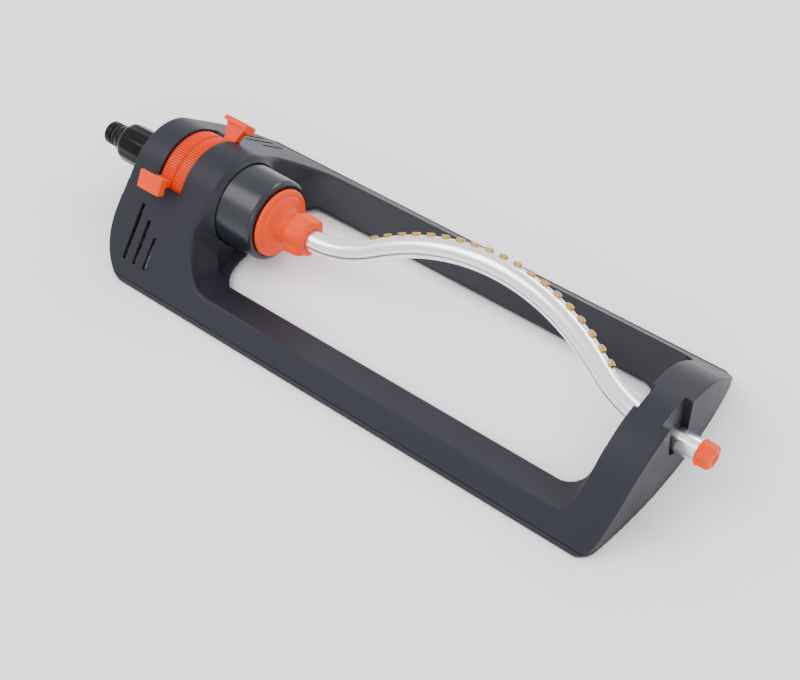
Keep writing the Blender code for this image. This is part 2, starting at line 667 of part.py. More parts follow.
def build_turbine(pivot):
    """The water wheel and its spindle, whose end is cut as the first pinion."""
    start = TURBINE_START
    end = start + TURBINE_WIDTH
    hub = 4 * MM
    blade = TURBINE_RADIUS - hub
    outer = [toothed(x, TURBINE_BLADES, hub + 0.61 * blade, 0.49 * blade, 0) for x in (start, end)]
    inner = [circle(x, SPINDLE_RADIUS + GAP, 4 * TURBINE_BLADES) for x in (end, start)]
    skin("turbine_wheel", outer + inner, "gear_plastic", pivot, ring=True)

    pinion = PINION_TEETH
    radius = GEAR_MODULE * pinion / 2
    gear_start = GEAR_PLANE - GEAR_FACE
    loops = [[(FLOW_PLATE_START, 0, 0)]]
    loops += [circle(x, SPINDLE_RADIUS, 4 * pinion) for x in (FLOW_PLATE_START, gear_start)]
    loops += [toothed(x, pinion, radius, GEAR_MODULE, 0) for x in (gear_start, GEAR_PLANE)]
    loops.append([(GEAR_PLANE, 0, 0)])
    skin("turbine_shaft", loops, "steel", pivot)


def build_idler(pivot, axis):
    """The compound gear between turbine and output, and the fixed pin that it turns on."""
    bore = PIN_RADIUS + GAP
    idler = gear("idler_gear", GEAR_PLANE - GEAR_FACE, GEAR_PLANE - GAP, WHEEL_TEETH, bore,
                 "gear_plastic", pivot, phase=math.pi + math.pi / WHEEL_TEETH)
    pinion = gear("guide_idler_pinion", GEAR_PLANE - 1 * MM, GEAR_PLANE + 2 * GEAR_FACE, PINION_TEETH,
                  bore, None, pivot, phase=math.pi + math.pi / PINION_TEETH)
    combine(idler, pinion, "UNION")
    pin_profile = bar(GEAR_PLATE_START, GEAR_PLANE + 2 * GEAR_FACE + 3 * MM, PIN_RADIUS)
    turned("idler_pin", pin_profile, "steel", axis, sides=12, centre=(GEAR_CENTRES, 0))


def build_gear_plate(axis):
    """The plate between turbine and gears, with a hole for the spindle and one for the pin."""
    end = GEAR_PLATE_START + PLATE_THICK
    fit = MOTOR_RADIUS - MOTOR_WALL - GAP
    plate = turned("gear_plate", sleeve(GEAR_PLATE_START, end, SPINDLE_RADIUS + GAP, fit),
                   "gear_plastic", axis, sides=24)
    hole = bar(GEAR_PLATE_START - 1 * MM, end + 1 * MM, PIN_RADIUS + GAP)
    combine(plate, turned("guide_pin_hole", hole, None, axis, sides=16, centre=(GEAR_CENTRES, 0)))


def build_output(tube_axis, axis):
    """The hollow output shaft with its gear, and the bush and seal that it runs in."""
    gear_start = GEAR_PLANE + GEAR_FACE * 0.5
    gear_end = gear_start + GEAR_FACE
    shaft_end = SOCKET_START + 4 * MM
    turned("output_shaft", sleeve(GEAR_PLANE + 2 * GAP, shaft_end, SHAFT_BORE, SHAFT_RADIUS),
           "gear_plastic", tube_axis, sides=24)
    inner = SHAFT_RADIUS + GAP
    gear("output_gear", gear_start, gear_end, WHEEL_TEETH, inner, "gear_plastic", tube_axis, phase=TILT)
    bush_end = MOTOR_FACE - GAP
    turned("output_bush", sleeve(MOTOR_FACE - END_WALL, bush_end, inner, inner + 1.6 * MM), "brass",
           axis, sides=24)
    seal_end = MOTOR_FACE - END_WALL - GAP
    turned("output_seal", sleeve(seal_end - 3 * MM, seal_end, inner, inner + 3.5 * MM), "rubber",
           axis, sides=24)


# Hose connector --------------------------------------------------------------------------------

def build_connector(pivot):
    """Swivel nut on the inlet stub, with the nipple that it holds, a washer and the nipple's ring."""
    stub_end = MOTOR_REAR - STUB_LENGTH
    nut_start = -NUT_LENGTH - 2 * MM
    nut_end = -2 * GAP
    thread = STUB_RADIUS + GAP
    washer_end = stub_end - GAP
    flange_end = washer_end - 1 * MM - GAP
    flange_start = flange_end - 2.6 * MM
    seat = flange_start - GAP
    neck = NIPPLE_RADIUS - 1.2 * MM
    nut = [(nut_end, thread), (seat, thread), (seat, neck + GAP), (nut_start, neck + GAP),
           (nut_start, NUT_RADIUS - 3 * MM), (nut_start + 2.5 * MM, NUT_RADIUS), (nut_end, NUT_RADIUS)]
    loops = []
    for x, radius in nut:
        ribbed = radius == NUT_RADIUS
        loops.append(circle(x, radius, 48, lobes=12, depth=0.8 * MM if ribbed else 0.0))
    skin("swivel_nut", loops, "black_plastic", pivot, ring=True)
    washer = sleeve(washer_end - 1 * MM, washer_end, STUB_BORE, STUB_RADIUS - GAP)
    turned("inlet_washer", washer, "rubber", pivot, sides=24)

    tip = -NIPPLE_REACH
    groove = tip + 8 * MM
    profile = [
        (flange_end, NIPPLE_BORE), (flange_end, STUB_RADIUS - GAP), (flange_start, STUB_RADIUS - GAP),
        (flange_start, neck), (tip + 15.5 * MM, neck), (tip + 15.5 * MM, NIPPLE_RADIUS + 1 * MM),
        (tip + 12.5 * MM, NIPPLE_RADIUS + 1 * MM), (tip + 12 * MM, NIPPLE_RADIUS),
        (groove + 1.3 * MM, NIPPLE_RADIUS - 0.4 * MM), (groove + 1.3 * MM, NIPPLE_RADIUS - 2.2 * MM),
        (groove - 1.3 * MM, NIPPLE_RADIUS - 2.2 * MM), (groove - 1.3 * MM, NIPPLE_RADIUS - 0.6 * MM),
        (tip + 5.5 * MM, NIPPLE_RADIUS), (tip + 1.5 * MM, NIPPLE_RADIUS),
        (tip, NIPPLE_RADIUS - 1.2 * MM), (tip, NIPPLE_BORE)]
    turned("hose_nipple", profile, "black_plastic", pivot, sides=24)
    seat_radius = NIPPLE_RADIUS - 1.9 * MM
    ring = arc(0.95 * MM, 0, 2 * math.pi * 7 / 8, 7, (groove, seat_radius + 0.95 * MM))
    turned("nipple_oring", ring, "rubber", pivot, sides=24)


# Spray tube ------------------------------------------------------------------------------------

def centreline(run):
    """Place and slope of the tube's centreline, run metres along it from the top of the arch."""
    sign = math.copysign(1, run)
    run = abs(run)
    arch = ARCH_RADIUS * ARCH_SLOPE
    if run < arch:
        turn = run / ARCH_RADIUS
        x = ARCH_RADIUS * math.sin(turn)
        height = ARCH_PEAK - ARCH_RADIUS * (1 - math.cos(turn))
    elif run < arch + ARCH_STRAIGHT:
        turn = ARCH_SLOPE
        x = ARCH_RADIUS * math.sin(turn) + (run - arch) * math.cos(turn)
        height = ARCH_PEAK - ARCH_RADIUS * (1 - math.cos(turn)) - (run - arch) * math.sin(turn)
    elif run < arch + ARCH_STRAIGHT + BEND_RADIUS * ARCH_SLOPE:
        turn = ARCH_SLOPE - (run - arch - ARCH_STRAIGHT) / BEND_RADIUS
        x = HALF_ARCH - BEND_RADIUS * math.sin(turn)
        height = BEND_RADIUS * (1 - math.cos(turn))
    else:
        turn = 0.0
        x = HALF_ARCH + run - arch - ARCH_STRAIGHT - BEND_RADIUS * ARCH_SLOPE
        height = 0.0
    return Vector((ARCH_MIDDLE + sign * x, 0, height)), -sign * turn


def tube_stations():
    """Runs along the centreline: close together on the bends, none needed on the straights."""
    arch = ARCH_RADIUS * ARCH_SLOPE
    bend = BEND_RADIUS * ARCH_SLOPE
    runs = [arch * i / 6 for i in range(7)]
    runs += [arch + ARCH_STRAIGHT + bend * i / 5 for i in range(6)]
    straight = arch + ARCH_STRAIGHT + bend
    left = [-run for run in reversed(runs[1:])]
    start = -straight - (ARCH_START - TUBE_START)
    return [start] + left + runs + [straight + TUBE_END - ARCH_END]


def tube_ring(run, radius, sides):
    """A loop round the tube's centreline."""
    middle, slope = centreline(run)
    normal = Vector((-math.sin(slope), 0, math.cos(slope)))
    ring = []
    for i in range(sides):
        turn = 2 * math.pi * i / sides
        ring.append(middle + normal * (radius * math.cos(turn))
                    + Vector((0, radius * math.sin(turn), 0)))
    return ring


def nozzle_frame(number):
    """Where a nozzle stands: its foot on the centreline and the turn about Y of its own X axis."""
    middle, slope = centreline(NOZZLE_PITCH * (number - (NOZZLE_COUNT - 1) / 2))
    return middle, -math.pi / 2 - slope


def build_spray_tube(tube_axis):
    """The bent tube with a drilled hole for each nozzle."""
    sides = 16
    runs = tube_stations()
    loops = [tube_ring(run, TUBE_RADIUS, sides) for run in runs]
    loops += [tube_ring(run, TUBE_RADIUS - TUBE_WALL, sides) for run in reversed(runs)]
    tube = skin("spray_tube", loops, "aluminium", tube_axis, ring=True)
    hole = NOZZLE_RADIUS + 1.4 * GAP
    for number in range(NOZZLE_COUNT):
        middle, turn = nozzle_frame(number)
        ends = [circle(x, hole, 12, phase=math.pi / 12) for x in (TUBE_RADIUS * 0.5, TUBE_RADIUS * 1.4)]
        drill = skin(f"guide_drill_{number}", ends, None, tube_axis)
        drill.location = middle
        drill.rotation_euler = (0, turn, 0)
        combine(tube, drill)


def build_nozzles(tube_axis):
    """The brass nozzles, one mesh shared by all of them."""
    profile = [(NOZZLE_FOOT, NOZZLE_BORE), (NOZZLE_FOOT, NOZZLE_RADIUS),
               (NOZZLE_TOP - 0.6 * MM, NOZZLE_RADIUS),
               (NOZZLE_TOP, NOZZLE_RADIUS - 0.7 * MM), (NOZZLE_TOP, NOZZLE_BORE)]
    shared = None
    for number in range(NOZZLE_COUNT):
        name = f"nozzle_{number + 1:02d}"
        if shared is None:
            nozzle = turned(name, profile, "brass", tube_axis, sides=8)
            shared = nozzle.data
        else:
            nozzle = add(name, shared, "brass", tube_axis)
        middle, turn = nozzle_frame(number)
        nozzle.location = middle
        nozzle.rotation_euler = (0, turn, 0)


def build_socket(tube_axis):
    """The flange and fluted collar that join the tube to the output shaft."""
    start = SOCKET_START
    shaft_hole = SHAFT_RADIUS + GAP
    tube_hole = TUBE_RADIUS + GAP
    step = start + 4 * MM + GAP
    seat = TUBE_START - 1.3 * MM
    sides = 36
    plain = [(seat, SHAFT_BORE), (step, SHAFT_BORE), (step, shaft_hole), (start, shaft_hole),
             (start, SOCKET_FLANGE), (start + 2.6 * MM, SOCKET_FLANGE),
             (start + 4 * MM, SOCKET_FLANGE - 1.6 * MM),
             (start + 5 * MM, SOCKET_FLANGE - 5 * MM), (start + 7.6 * MM, 12.6 * MM),
             (start + 10.6 * MM, 10.8 * MM)]
    loops = [circle(x, radius, sides) for x, radius in plain]
    collar = [(start + 14 * MM, 12.4 * MM, 0.6 * MM), (start + 17 * MM, 14.4 * MM, 2 * MM),
              (SOCKET_END - 2.5 * MM, 13.6 * MM, 2 * MM), (SOCKET_END, 11.6 * MM, 1.2 * MM)]
    loops += [circle(x, radius, sides, lobes=6, depth=depth) for x, radius, depth in collar]
    loops += [circle(SOCKET_END, tube_hole, sides), circle(seat, tube_hole, sides)]
    skin("tube_socket", loops, "orange_plastic", tube_axis, ring=True)
    seal = sleeve(seat + GAP, TUBE_START - GAP, SHAFT_BORE + 1 * MM, TUBE_RADIUS)
    turned("tube_seal", seal, "rubber", tube_axis, sides=24)


def build_bush(axis):
    """The bearing of the tube's far end, with its flange inside the crossbar."""
    inner = TUBE_RADIUS + GAP
    start = ARCH_END + 0.6 * MM
    flange_end = BASE_LENGTH - 10 * MM - GAP
    profile = [(start, inner), (start, BUSH_RADIUS + 2 * MM), (flange_end, BUSH_RADIUS + 2 * MM),
               (flange_end, BUSH_RADIUS), (BASE_LENGTH - BUSH_RECESS, BUSH_RADIUS),
               (BASE_LENGTH - BUSH_RECESS, inner)]
    turned("crossbar_bush", profile, "motor_plastic", axis, sides=24)


def build_end_plug(pivot):
    """The plug in the tube's open end, with its seal and the needle that clears the nozzles."""
    head = TUBE_END + GAP
    stem_start = head - PLUG_STEM_LENGTH
    seal = stem_start + 5 * MM
    blind = 3 * MM
    needle_hole = 0.8 * MM
    sides = 24
    groove = PLUG_STEM - 1.1 * MM
    plain = [(stem_start + blind, 0), (stem_start + blind, needle_hole), (stem_start, needle_hole),
             (stem_start, PLUG_STEM - 0.6 * MM), (stem_start + 0.6 * MM, PLUG_STEM),
             (seal - 1 * MM, PLUG_STEM), (seal - 1 * MM, groove), (seal + 1 * MM, groove),
             (seal + 1 * MM, PLUG_STEM), (head, PLUG_STEM), (head, PLUG_RADIUS),
             (head + 1.4 * MM, PLUG_RADIUS)]
    loops = [circle(x, radius, sides) for x, radius in plain]
    grip = [(head + 1.8 * MM, PLUG_RADIUS - 0.2 * MM), (PLUG_END - 1.4 * MM, PLUG_RADIUS - 0.3 * MM),
            (PLUG_END, PLUG_RADIUS - 1.8 * MM)]
    loops += [circle(x, radius, sides, lobes=6, depth=1.1 * MM) for x, radius in grip]
    loops.append([(PLUG_END, 0, 0)])
    skin("end_plug", loops, "orange_plastic", pivot)
    ring = sleeve(seal - 0.7 * MM, seal + 0.7 * MM, groove + GAP, TUBE_RADIUS - TUBE_WALL - GAP)
    turned("plug_seal", ring, "rubber", pivot, sides=24)
    needle = bar(stem_start - 8 * MM, stem_start + blind - GAP, needle_hole - GAP)
    turned("cleaning_needle", needle, "steel", pivot, sides=8)


def build():
    """Place the frames that the pieces hang from, and build every piece."""
    clear_scene()
    ground = empty("ground", (-MIDDLE, 0, 0))
    axis = empty("motor_axis", (-MIDDLE, 0, AXIS_HEIGHT))
    tube_axis = empty("tube_axis", (-MIDDLE, 0, AXIS_HEIGHT), tilt=-TILT)
    idler_pivot = empty("idler_axis", (0, GEAR_CENTRES, 0), parent=axis)
    flap_pivot = empty("flap_axis", (0, 0, FLAP_PIVOT), parent=axis)

    build_base(ground, axis)
    build_strap(axis, ground)
    build_range_ring("range_ring_rear", RING_START, 1, axis)
    build_range_ring("range_ring_front", RING_START + RING_PITCH, -1, axis)
    build_housings(axis)
    build_inlet(axis)
    build_flap(flap_pivot)
    build_flap_spring(axis)
    build_turbine(axis)
    build_idler(idler_pivot, axis)
    build_gear_plate(axis)
    build_output(tube_axis, axis)
    build_connector(axis)
    build_spray_tube(tube_axis)
    build_nozzles(tube_axis)
    build_socket(tube_axis)
    build_bush(axis)
    build_end_plug(tube_axis)


build()
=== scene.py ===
"""The looks of the oscillating lawn sprinkler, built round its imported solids."""

import json
import math

import bmesh
import bpy
from mathutils import Matrix, Vector


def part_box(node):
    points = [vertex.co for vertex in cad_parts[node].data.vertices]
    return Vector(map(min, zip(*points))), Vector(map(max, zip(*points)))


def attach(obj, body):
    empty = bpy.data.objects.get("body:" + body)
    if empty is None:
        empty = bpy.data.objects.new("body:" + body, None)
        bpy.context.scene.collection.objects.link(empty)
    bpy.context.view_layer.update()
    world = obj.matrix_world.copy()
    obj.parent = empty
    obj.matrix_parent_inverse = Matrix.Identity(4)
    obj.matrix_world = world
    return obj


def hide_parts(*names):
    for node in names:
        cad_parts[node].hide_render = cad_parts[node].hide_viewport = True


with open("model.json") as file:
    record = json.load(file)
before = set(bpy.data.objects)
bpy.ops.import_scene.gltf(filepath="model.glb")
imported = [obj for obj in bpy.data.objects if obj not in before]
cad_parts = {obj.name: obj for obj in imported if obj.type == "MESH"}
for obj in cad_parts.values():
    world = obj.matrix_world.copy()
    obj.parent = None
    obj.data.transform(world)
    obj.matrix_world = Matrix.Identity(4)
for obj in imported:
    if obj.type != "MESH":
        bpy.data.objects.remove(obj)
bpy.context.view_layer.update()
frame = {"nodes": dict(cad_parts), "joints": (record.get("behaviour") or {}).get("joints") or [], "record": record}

MM = 0.001
GAP = 0.3 * MM

# Taken from the frame: stations along X are measured from the base's rear edge
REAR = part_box("base_shell")[0].x
BASE_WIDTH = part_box("base_shell")[1].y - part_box("base_shell")[0].y
AXIS_HEIGHT = frame["joints"][0]["pos_m"][2]
TUBE_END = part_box("spray_tube")[1].x - REAR
PLUG_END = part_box("end_plug")[1].x - REAR
NIPPLE_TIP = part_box("hose_nipple")[0].x - REAR
MOTOR_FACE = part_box("front_housing")[1].x - REAR
SOCKET_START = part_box("tube_socket")[0].x - REAR
SOCKET_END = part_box("tube_socket")[1].x - REAR
TUBE_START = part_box("spray_tube")[0].x - REAR

# The base moulding, as in the solids
BASE_LENGTH = 396 * MM
SHELL_WALL = 2.4 * MM
COWL_RADIUS = 32 * MM
CROSSBAR_RADIUS = 65 * MM
CROSSBAR_RISE = 23 * MM
LIP_WIDTH = 2 * MM
LIP_HEIGHT = 3.4 * MM
REAR_LEAN = 5 * MM
REAR_CORNER = 32 * MM
FRONT_UNDERCUT = 2 * MM
FRONT_BOW = 7.6 * MM
FRONT_CORNER = 10 * MM
RAIL_CREASE = 12.5 * MM
RAIL_WIDTH = 34.6 * MM
RAIL_FLOOR = 4.9 * MM
CREASE_HEIGHT = 14.7 * MM
SHOULDER_HEIGHT = 36 * MM
WINDOW_FRONT_CORNER = 13 * MM
WINDOW_REAR_CORNER = 26 * MM
WINDOW_REAR_SPREAD = 21.1 * MM
CREASE_CORNER = 19 * MM
CREASE_FRONT_CORNER = 10 * MM
RECESS_DEPTH = 7.5 * MM
RECESS_FLOOR = 8 * MM
RECESS_CORNER = 17 * MM
DRAIN_HALF_WIDTH = 13 * MM
HOLLOW_DROP = 1.12           # how far the hollow's upper faces sink, in wall thicknesses
TALL = 70 * MM
WINDOW_START = 82 * MM
WINDOW_END = BASE_LENGTH - 38 * MM
COWL_FRONT = 67 * MM
COLLAR_FRONT = 75 * MM
COLLAR_RADIUS = 43 * MM
CROSSBAR_BACK = BASE_LENGTH - 25 * MM
MOTOR_RADIUS = 28.3 * MM
MOTOR_NOSE_RADIUS = 27.1 * MM
MOTOR_SPLIT = 51 * MM
MOTOR_WALL = 2.2 * MM
STUB_RADIUS = 10 * MM
BUSH_RADIUS = 9 * MM
NOTCH_HALF_WIDTH = 8.8 * MM
NOTCH_DEPTH = 3 * MM
POCKET_HALF_WIDTH = 11.5 * MM
POCKET_DEPTH = 5 * MM

# Range rings
RING_WIDTH = 9.9 * MM
RING_PITCH = 10.5 * MM
RING_START = 25.8 * MM
RING_INNER = 29 * MM
RING_OUTER = 31 * MM
RING_RIBS = 112
SLOT_HALF_ANGLE = math.radians(60)
TAB_ANGLE = math.radians(55)
TAB_REACH = 42.3 * MM
TAB_LENGTH = 19 * MM
TAB_WIDTH = 11 * MM
TAB_THICK = 3.4 * MM
WEB_THICK = 4.8 * MM
WEB_FOOT = 9.6 * MM

# Hose connector
NUT_RADIUS = 13.5 * MM
NUT_LOBES = 12
NIPPLE_RADIUS = 8 * MM
NIPPLE_BORE = 5 * MM

# Vents
VENT_WIDTH = 2.8 * MM
VENT_PITCH = 9.1 * MM
VENT_START = 22.7 * MM
VENT_FOOT = 10.7 * MM
VENT_TOPS = (38.1 * MM, 32.5 * MM, 26.6 * MM)

# Spray tube
SOCKET_FLANGE = 22.7 * MM
GRIP_LOBES = 6               # of the socket's collar and of the end plug
TUBE_RADIUS = 7 * MM
TUBE_WALL = 1 * MM
TILT = math.radians(41.6)
ARCH_SLOPE = math.radians(31.8)
BEND_RADIUS = 78 * MM
ARCH_STRAIGHT = 9.7 * MM
BEND_CLEARANCE = 1.5 * MM
BEARING_RUN = 13.1 * MM
NOZZLE_COUNT = 19
NOZZLE_PITCH = 9.62 * MM
NOZZLE_RADIUS = 2.7 * MM
NOZZLE_FOOT = 5.3 * MM
NOZZLE_TOP = 8.6 * MM
ARCH_START = SOCKET_END + BEND_CLEARANCE
ARCH_END = BASE_LENGTH - BEARING_RUN
ARCH_MIDDLE = (ARCH_START + ARCH_END) / 2
HALF_ARCH = (ARCH_END - ARCH_START) / 2
ARCH_RADIUS = ((HALF_ARCH - ARCH_STRAIGHT * math.cos(ARCH_SLOPE)) / math.sin(ARCH_SLOPE)
               - BEND_RADIUS)
ARCH_PEAK = ((ARCH_RADIUS + BEND_RADIUS) * (1 - math.cos(ARCH_SLOPE))
             + ARCH_STRAIGHT * math.sin(ARCH_SLOPE))

# Stage
FLOOR_REACH = 6.0
SKY_STRENGTH = 1.45
LAMP_AIM = (0, 0, 0.03)
LAMPS = (("key", (-0.7, -0.5, 1.3), (0.9, 0.9), 12),
         ("fill", (0.9, -0.9, 0.7), (0.8, 0.8), 6),
         ("rim", (0.2, 1.1, 0.9), (1.2, 0.4), 9))
CAMERA_PLACE = (REAR + 0.6240, -0.4235, 0.6930)
CAMERA_RIGHT = (0.7733, 0.6271, -0.0932)
CAMERA_BACK = (0.4596, -0.4533, 0.7638)
CAMERA_LENS = 66.96          # millimetres, on a sensor 36 mm wide

ON_GROUND = Matrix.Translation((REAR, 0, 0))
ON_AXIS = Matrix.Translation((REAR, 0, AXIS_HEIGHT))
ON_TUBE = ON_AXIS @ Matrix.Rotation(-TILT, 4, "X")
ROUND = 96


# Materials -------------------------------------------------------------------------------------

class Nodes:
    """A material's node tree with short calls to add and join nodes."""

    def __init__(self, name):
        self.material = bpy.data.materials.new(name)
        self.material.use_nodes = True
        self.tree = self.material.node_tree
        self.shader = self.tree.nodes["Principled BSDF"]

    def add(self, kind, **inputs):
        """A node whose inputs are set to values or joined to other nodes' outputs."""
        node = self.tree.nodes.new("ShaderNode" + kind)
        for key, value in inputs.items():
            self.put(node.inputs[key.replace("_", " ")], value)
        return node

    def put(self, socket, value):
        """Set a socket to a value, or join it to an output."""
        if isinstance(value, bpy.types.NodeSocket):
            self.tree.links.new(value, socket)
        else:
            socket.default_value = value

    def noise(self, scale, detail=3.0, roughness=0.5, stretch=(1, 1, 1)):
        """Noise in the piece's own space, in cycles per metre, stretched along an axis."""
        place = self.add("TexCoord").outputs["Object"]
        mapping = self.add("Mapping", Vector=place, Scale=stretch)
        node = self.add("TexNoise", Vector=mapping.outputs["Vector"], Scale=scale, Detail=detail,
                        Roughness=roughness)
        return node.outputs["Fac"]

    def span(self, value, low, high, start=0.3, end=0.7):
        """Map a value from start-end to low-high."""
        node = self.add("MapRange", Value=value)
        node.inputs["From Min"].default_value = start
        node.inputs["From Max"].default_value = end
        node.inputs["To Min"].default_value = low
        node.inputs["To Max"].default_value = high
        return node.outputs["Result"]

    def blend(self, share, first, second):
        """Mix two colours."""
        node = self.tree.nodes.new("ShaderNodeMix")
        node.data_type = "RGBA"
        self.put(node.inputs["Factor"], share)
        sockets = [s for s in node.inputs if s.type == "RGBA"]
        self.put(sockets[0], first)
        self.put(sockets[1], second)
        return [s for s in node.outputs if s.type == "RGBA"][0]

    def bump(self, height, distance, strength=1.0, normal=None):
        """A bump of the given real depth."""
        node = self.add("Bump", Height=height, Strength=strength, Distance=distance)
        if normal is not None:
            self.put(node.inputs["Normal"], normal)
        return node.outputs["Normal"]


def shade(colour, factor):
    """A colour made lighter or darker, with alpha."""
    return (*(min(1.0, channel * factor) for channel in colour), 1.0)


def moulded(name, colour, roughness, grain=0.00003, gloss=0.35, edge_wear_and_highlight=1.35):
    """Moulded plastic: grain, drifting tone, uneven sheen, worn and painted-highlit edges, painted shade in
    hollows.
    """
    nodes = Nodes(name)
    drift = nodes.span(nodes.noise(9.0, detail=3.0), 0.0, 1.0)
    base = nodes.blend(drift, shade(colour, 0.93), shade(colour, 1.07))
    point = nodes.add("NewGeometry").outputs["Pointiness"]
    # Sharp edges of high pointiness take a lighter colour: partly edge wear, partly a painted highlight
    edge = nodes.span(point, 0.0, 0.8, start=0.53, end=0.60)
    # Painted shade: low pointiness (creases, hollows, gaps between ribs) darkens the colour to stand in for shade
    painted_crease_shade = nodes.span(point, 1.0, 0.0, start=0.38, end=0.48)
    base = nodes.blend(painted_crease_shade, base, shade(colour, 0.45))
    nodes.put(nodes.shader.inputs["Base Color"], nodes.blend(edge, base, shade(colour, edge_wear_and_highlight)))
    patch = nodes.noise(24.0, detail=5.0, roughness=0.6)
    nodes.put(nodes.shader.inputs["Roughness"],
              nodes.span(patch, roughness - 0.03, roughness + 0.04))
    fine = nodes.bump(nodes.noise(4200.0, detail=2.0), grain, strength=0.4)
    nodes.put(nodes.shader.inputs["Normal"],
              nodes.bump(nodes.noise(35.0, detail=2.0), grain * 5, strength=0.25, normal=fine))
    nodes.shader.inputs["Specular IOR Level"].default_value = gloss
    return nodes.material


def metal(name, colour, roughness, lines=(1, 1, 1), depth=0.00002, tarnish=0.85):
    """Metal with drawn lines, small pits and a slow change of tone."""
    nodes = Nodes(name)
    drift = nodes.span(nodes.noise(30.0, detail=5.0, roughness=0.6), 0.0, 1.0)
    nodes.put(nodes.shader.inputs["Base Color"],
              nodes.blend(drift, shade(colour, tarnish), shade(colour, 1.0)))
    streak = nodes.noise(900.0, detail=3.0, stretch=lines)
    nodes.put(nodes.shader.inputs["Roughness"],
              nodes.span(streak, roughness - 0.02, roughness + 0.02))
    fine = nodes.bump(streak, depth, strength=0.35)
    nodes.put(nodes.shader.inputs["Normal"],
              nodes.bump(nodes.noise(140.0, detail=4.0), depth * 2, strength=0.2, normal=fine))
    nodes.shader.inputs["Metallic"].default_value = 1.0
    return nodes.material


def make_materials():
    """One procedural material for each of the record's slots."""
    return {
        "base_plastic": moulded("base_plastic", (0.0172, 0.0172, 0.0245), 0.46, gloss=0.2),
        "motor_plastic": moulded("motor_plastic", (0.011, 0.0125, 0.017), 0.26,
                                 grain=0.00001, gloss=0.42),
        "orange_plastic": moulded("orange_plastic", (0.8, 0.05, 0.0), 0.4,
                                  grain=0.00001, gloss=0.2, edge_wear_and_highlight=1.0),
        "black_plastic": moulded("black_plastic", (0.0012, 0.0012, 0.0012), 0.24,
                                 grain=0.00001, gloss=0.16),
        "gear_plastic": moulded("gear_plastic", (0.74, 0.72, 0.66), 0.48,
                                grain=0.00001, edge_wear_and_highlight=1.1),
        "aluminium": metal("aluminium", (0.95, 0.955, 0.965), 0.24,
                           lines=(0.3, 1, 1), depth=0.0000003, tarnish=0.95),
        "brass": metal("brass", (0.6, 0.37, 0.11), 0.36, tarnish=0.7),
        "steel": metal("steel", (0.6, 0.6, 0.61), 0.3),
        "rubber": moulded("rubber", (0.012, 0.012, 0.012), 0.72, grain=0.00006, edge_wear_and_highlight=2.0),
    }


# Mesh helpers ----------------------------------------------------------------------------------

def skin(name, loops, place=Matrix.Identity(4), ring=False, sharp=30):
    """Cover a row of loops of points; a loop of one point is a pole, a ring joins last to first."""
    count = max(len(loop) for loop in loops)
    points = []
    rows = []
    for loop in loops:
        first = len(points)
        points.extend(place @ Vector(point) for point in loop)
        rows.append([first] * count if len(loop) == 1 else list(range(first, first + count)))
    faces = []
    for row, after in zip(rows, rows[1:] + rows[:1] if ring else rows[1:]):
        for i in range(count):
            j = (i + 1) % count
            faces.append(list(dict.fromkeys((row[i], row[j], after[j], after[i]))))
    if not ring:
        faces.extend(row for row in (rows[0], rows[-1]) if row[0] != row[-1])
    mesh = bpy.data.meshes.new(name)
    mesh.from_pydata(points, [], faces)
    shape = bmesh.new()
    shape.from_mesh(mesh)
    bmesh.ops.recalc_face_normals(shape, faces=shape.faces)
    shape.to_mesh(mesh)
    shape.free()
    mesh.shade_smooth()
    mesh.set_sharp_from_angle(angle=math.radians(sharp))
    piece = bpy.data.objects.new(name, mesh)
    bpy.context.scene.collection.objects.link(piece)
    return piece


def circle(x, radius, sides=ROUND, centre=(0, 0), lobes=0, depth=0.0, phase=0.0):
    """A loop round the X direction, fluted if it has lobes; a zero radius gives a pole."""
    if radius == 0:
        return [(x, *centre)]
    loop = []
    for i in range(sides):
        angle = phase + 2 * math.pi * i / sides
        reach = radius - depth * (0.5 - 0.5 * math.cos(lobes * angle))
        loop.append((x, centre[0] + reach * math.cos(angle), centre[1] + reach * math.sin(angle)))
    return loop


def turned(name, profile, place=ON_AXIS, sides=ROUND, centre=(0, 0), sharp=30):
    """Turn (x, radius) points round the X direction; a profile off the axis closes on itself."""
    loops = [circle(x, radius, sides, centre) for x, radius in profile]
    return skin(name, loops, place, ring=profile[0][1] > 0, sharp=sharp)


def bar(x0, x1, radius):
    """The profile of a plain round bar."""
    return [(x0, 0), (x0, radius), (x1, radius), (x1, 0)]


def prism(name, outline, x0, x1, place=ON_AXIS):
    """Push a (y, z) outline along X."""
    return skin(name, [[(x, y, z) for y, z in outline] for x in (x0, x1)], place)


def arc(radius, start, end, steps, centre=(0, 0)):
    """Points on an arc; angles run from the first axis to the second."""
    points = []
    for i in range(steps + 1):
        angle = start + (end - start) * i / steps
        points.append((centre[0] + radius * math.cos(angle), centre[1] + radius * math.sin(angle)))
    return points


def rounded(profile, radius, steps=4):
    """A profile whose inner corners are rounded off, as far as their shorter side allows."""
    points = []
    for i, here in enumerate(profile):
        corner = Vector(here)
        before = Vector(profile[i - 1]) - corner
        after = Vector(profile[(i + 1) % len(profile)]) - corner
        if 0 in (here[1], before.length, after.length):
            points.append(here)
            continue
        cut = min(radius, before.length * 0.45, after.length * 0.45)
        start = corner + before.normalized() * cut
        end = corner + after.normalized() * cut
        for step in range(steps + 1):
            t = step / steps
            point = start * (1 - t) ** 2 + corner * 2 * t * (1 - t) + end * t ** 2
            points.append(tuple(point))
    return points


def combine(piece, other, operation="DIFFERENCE", solver="EXACT"):
    """Cut, join or intersect, and drop the guide."""
    step = piece.modifiers.new(other.name, "BOOLEAN")
    step.operation = operation
    step.solver = solver
    step.object = other
    bake(piece)
    bpy.data.objects.remove(other)


def bake(piece):
    """Apply a piece's modifiers to its mesh."""
    graph = bpy.context.evaluated_depsgraph_get()
    mesh = bpy.data.meshes.new_from_object(piece.evaluated_get(graph))
    piece.modifiers.clear()
    piece.data = mesh


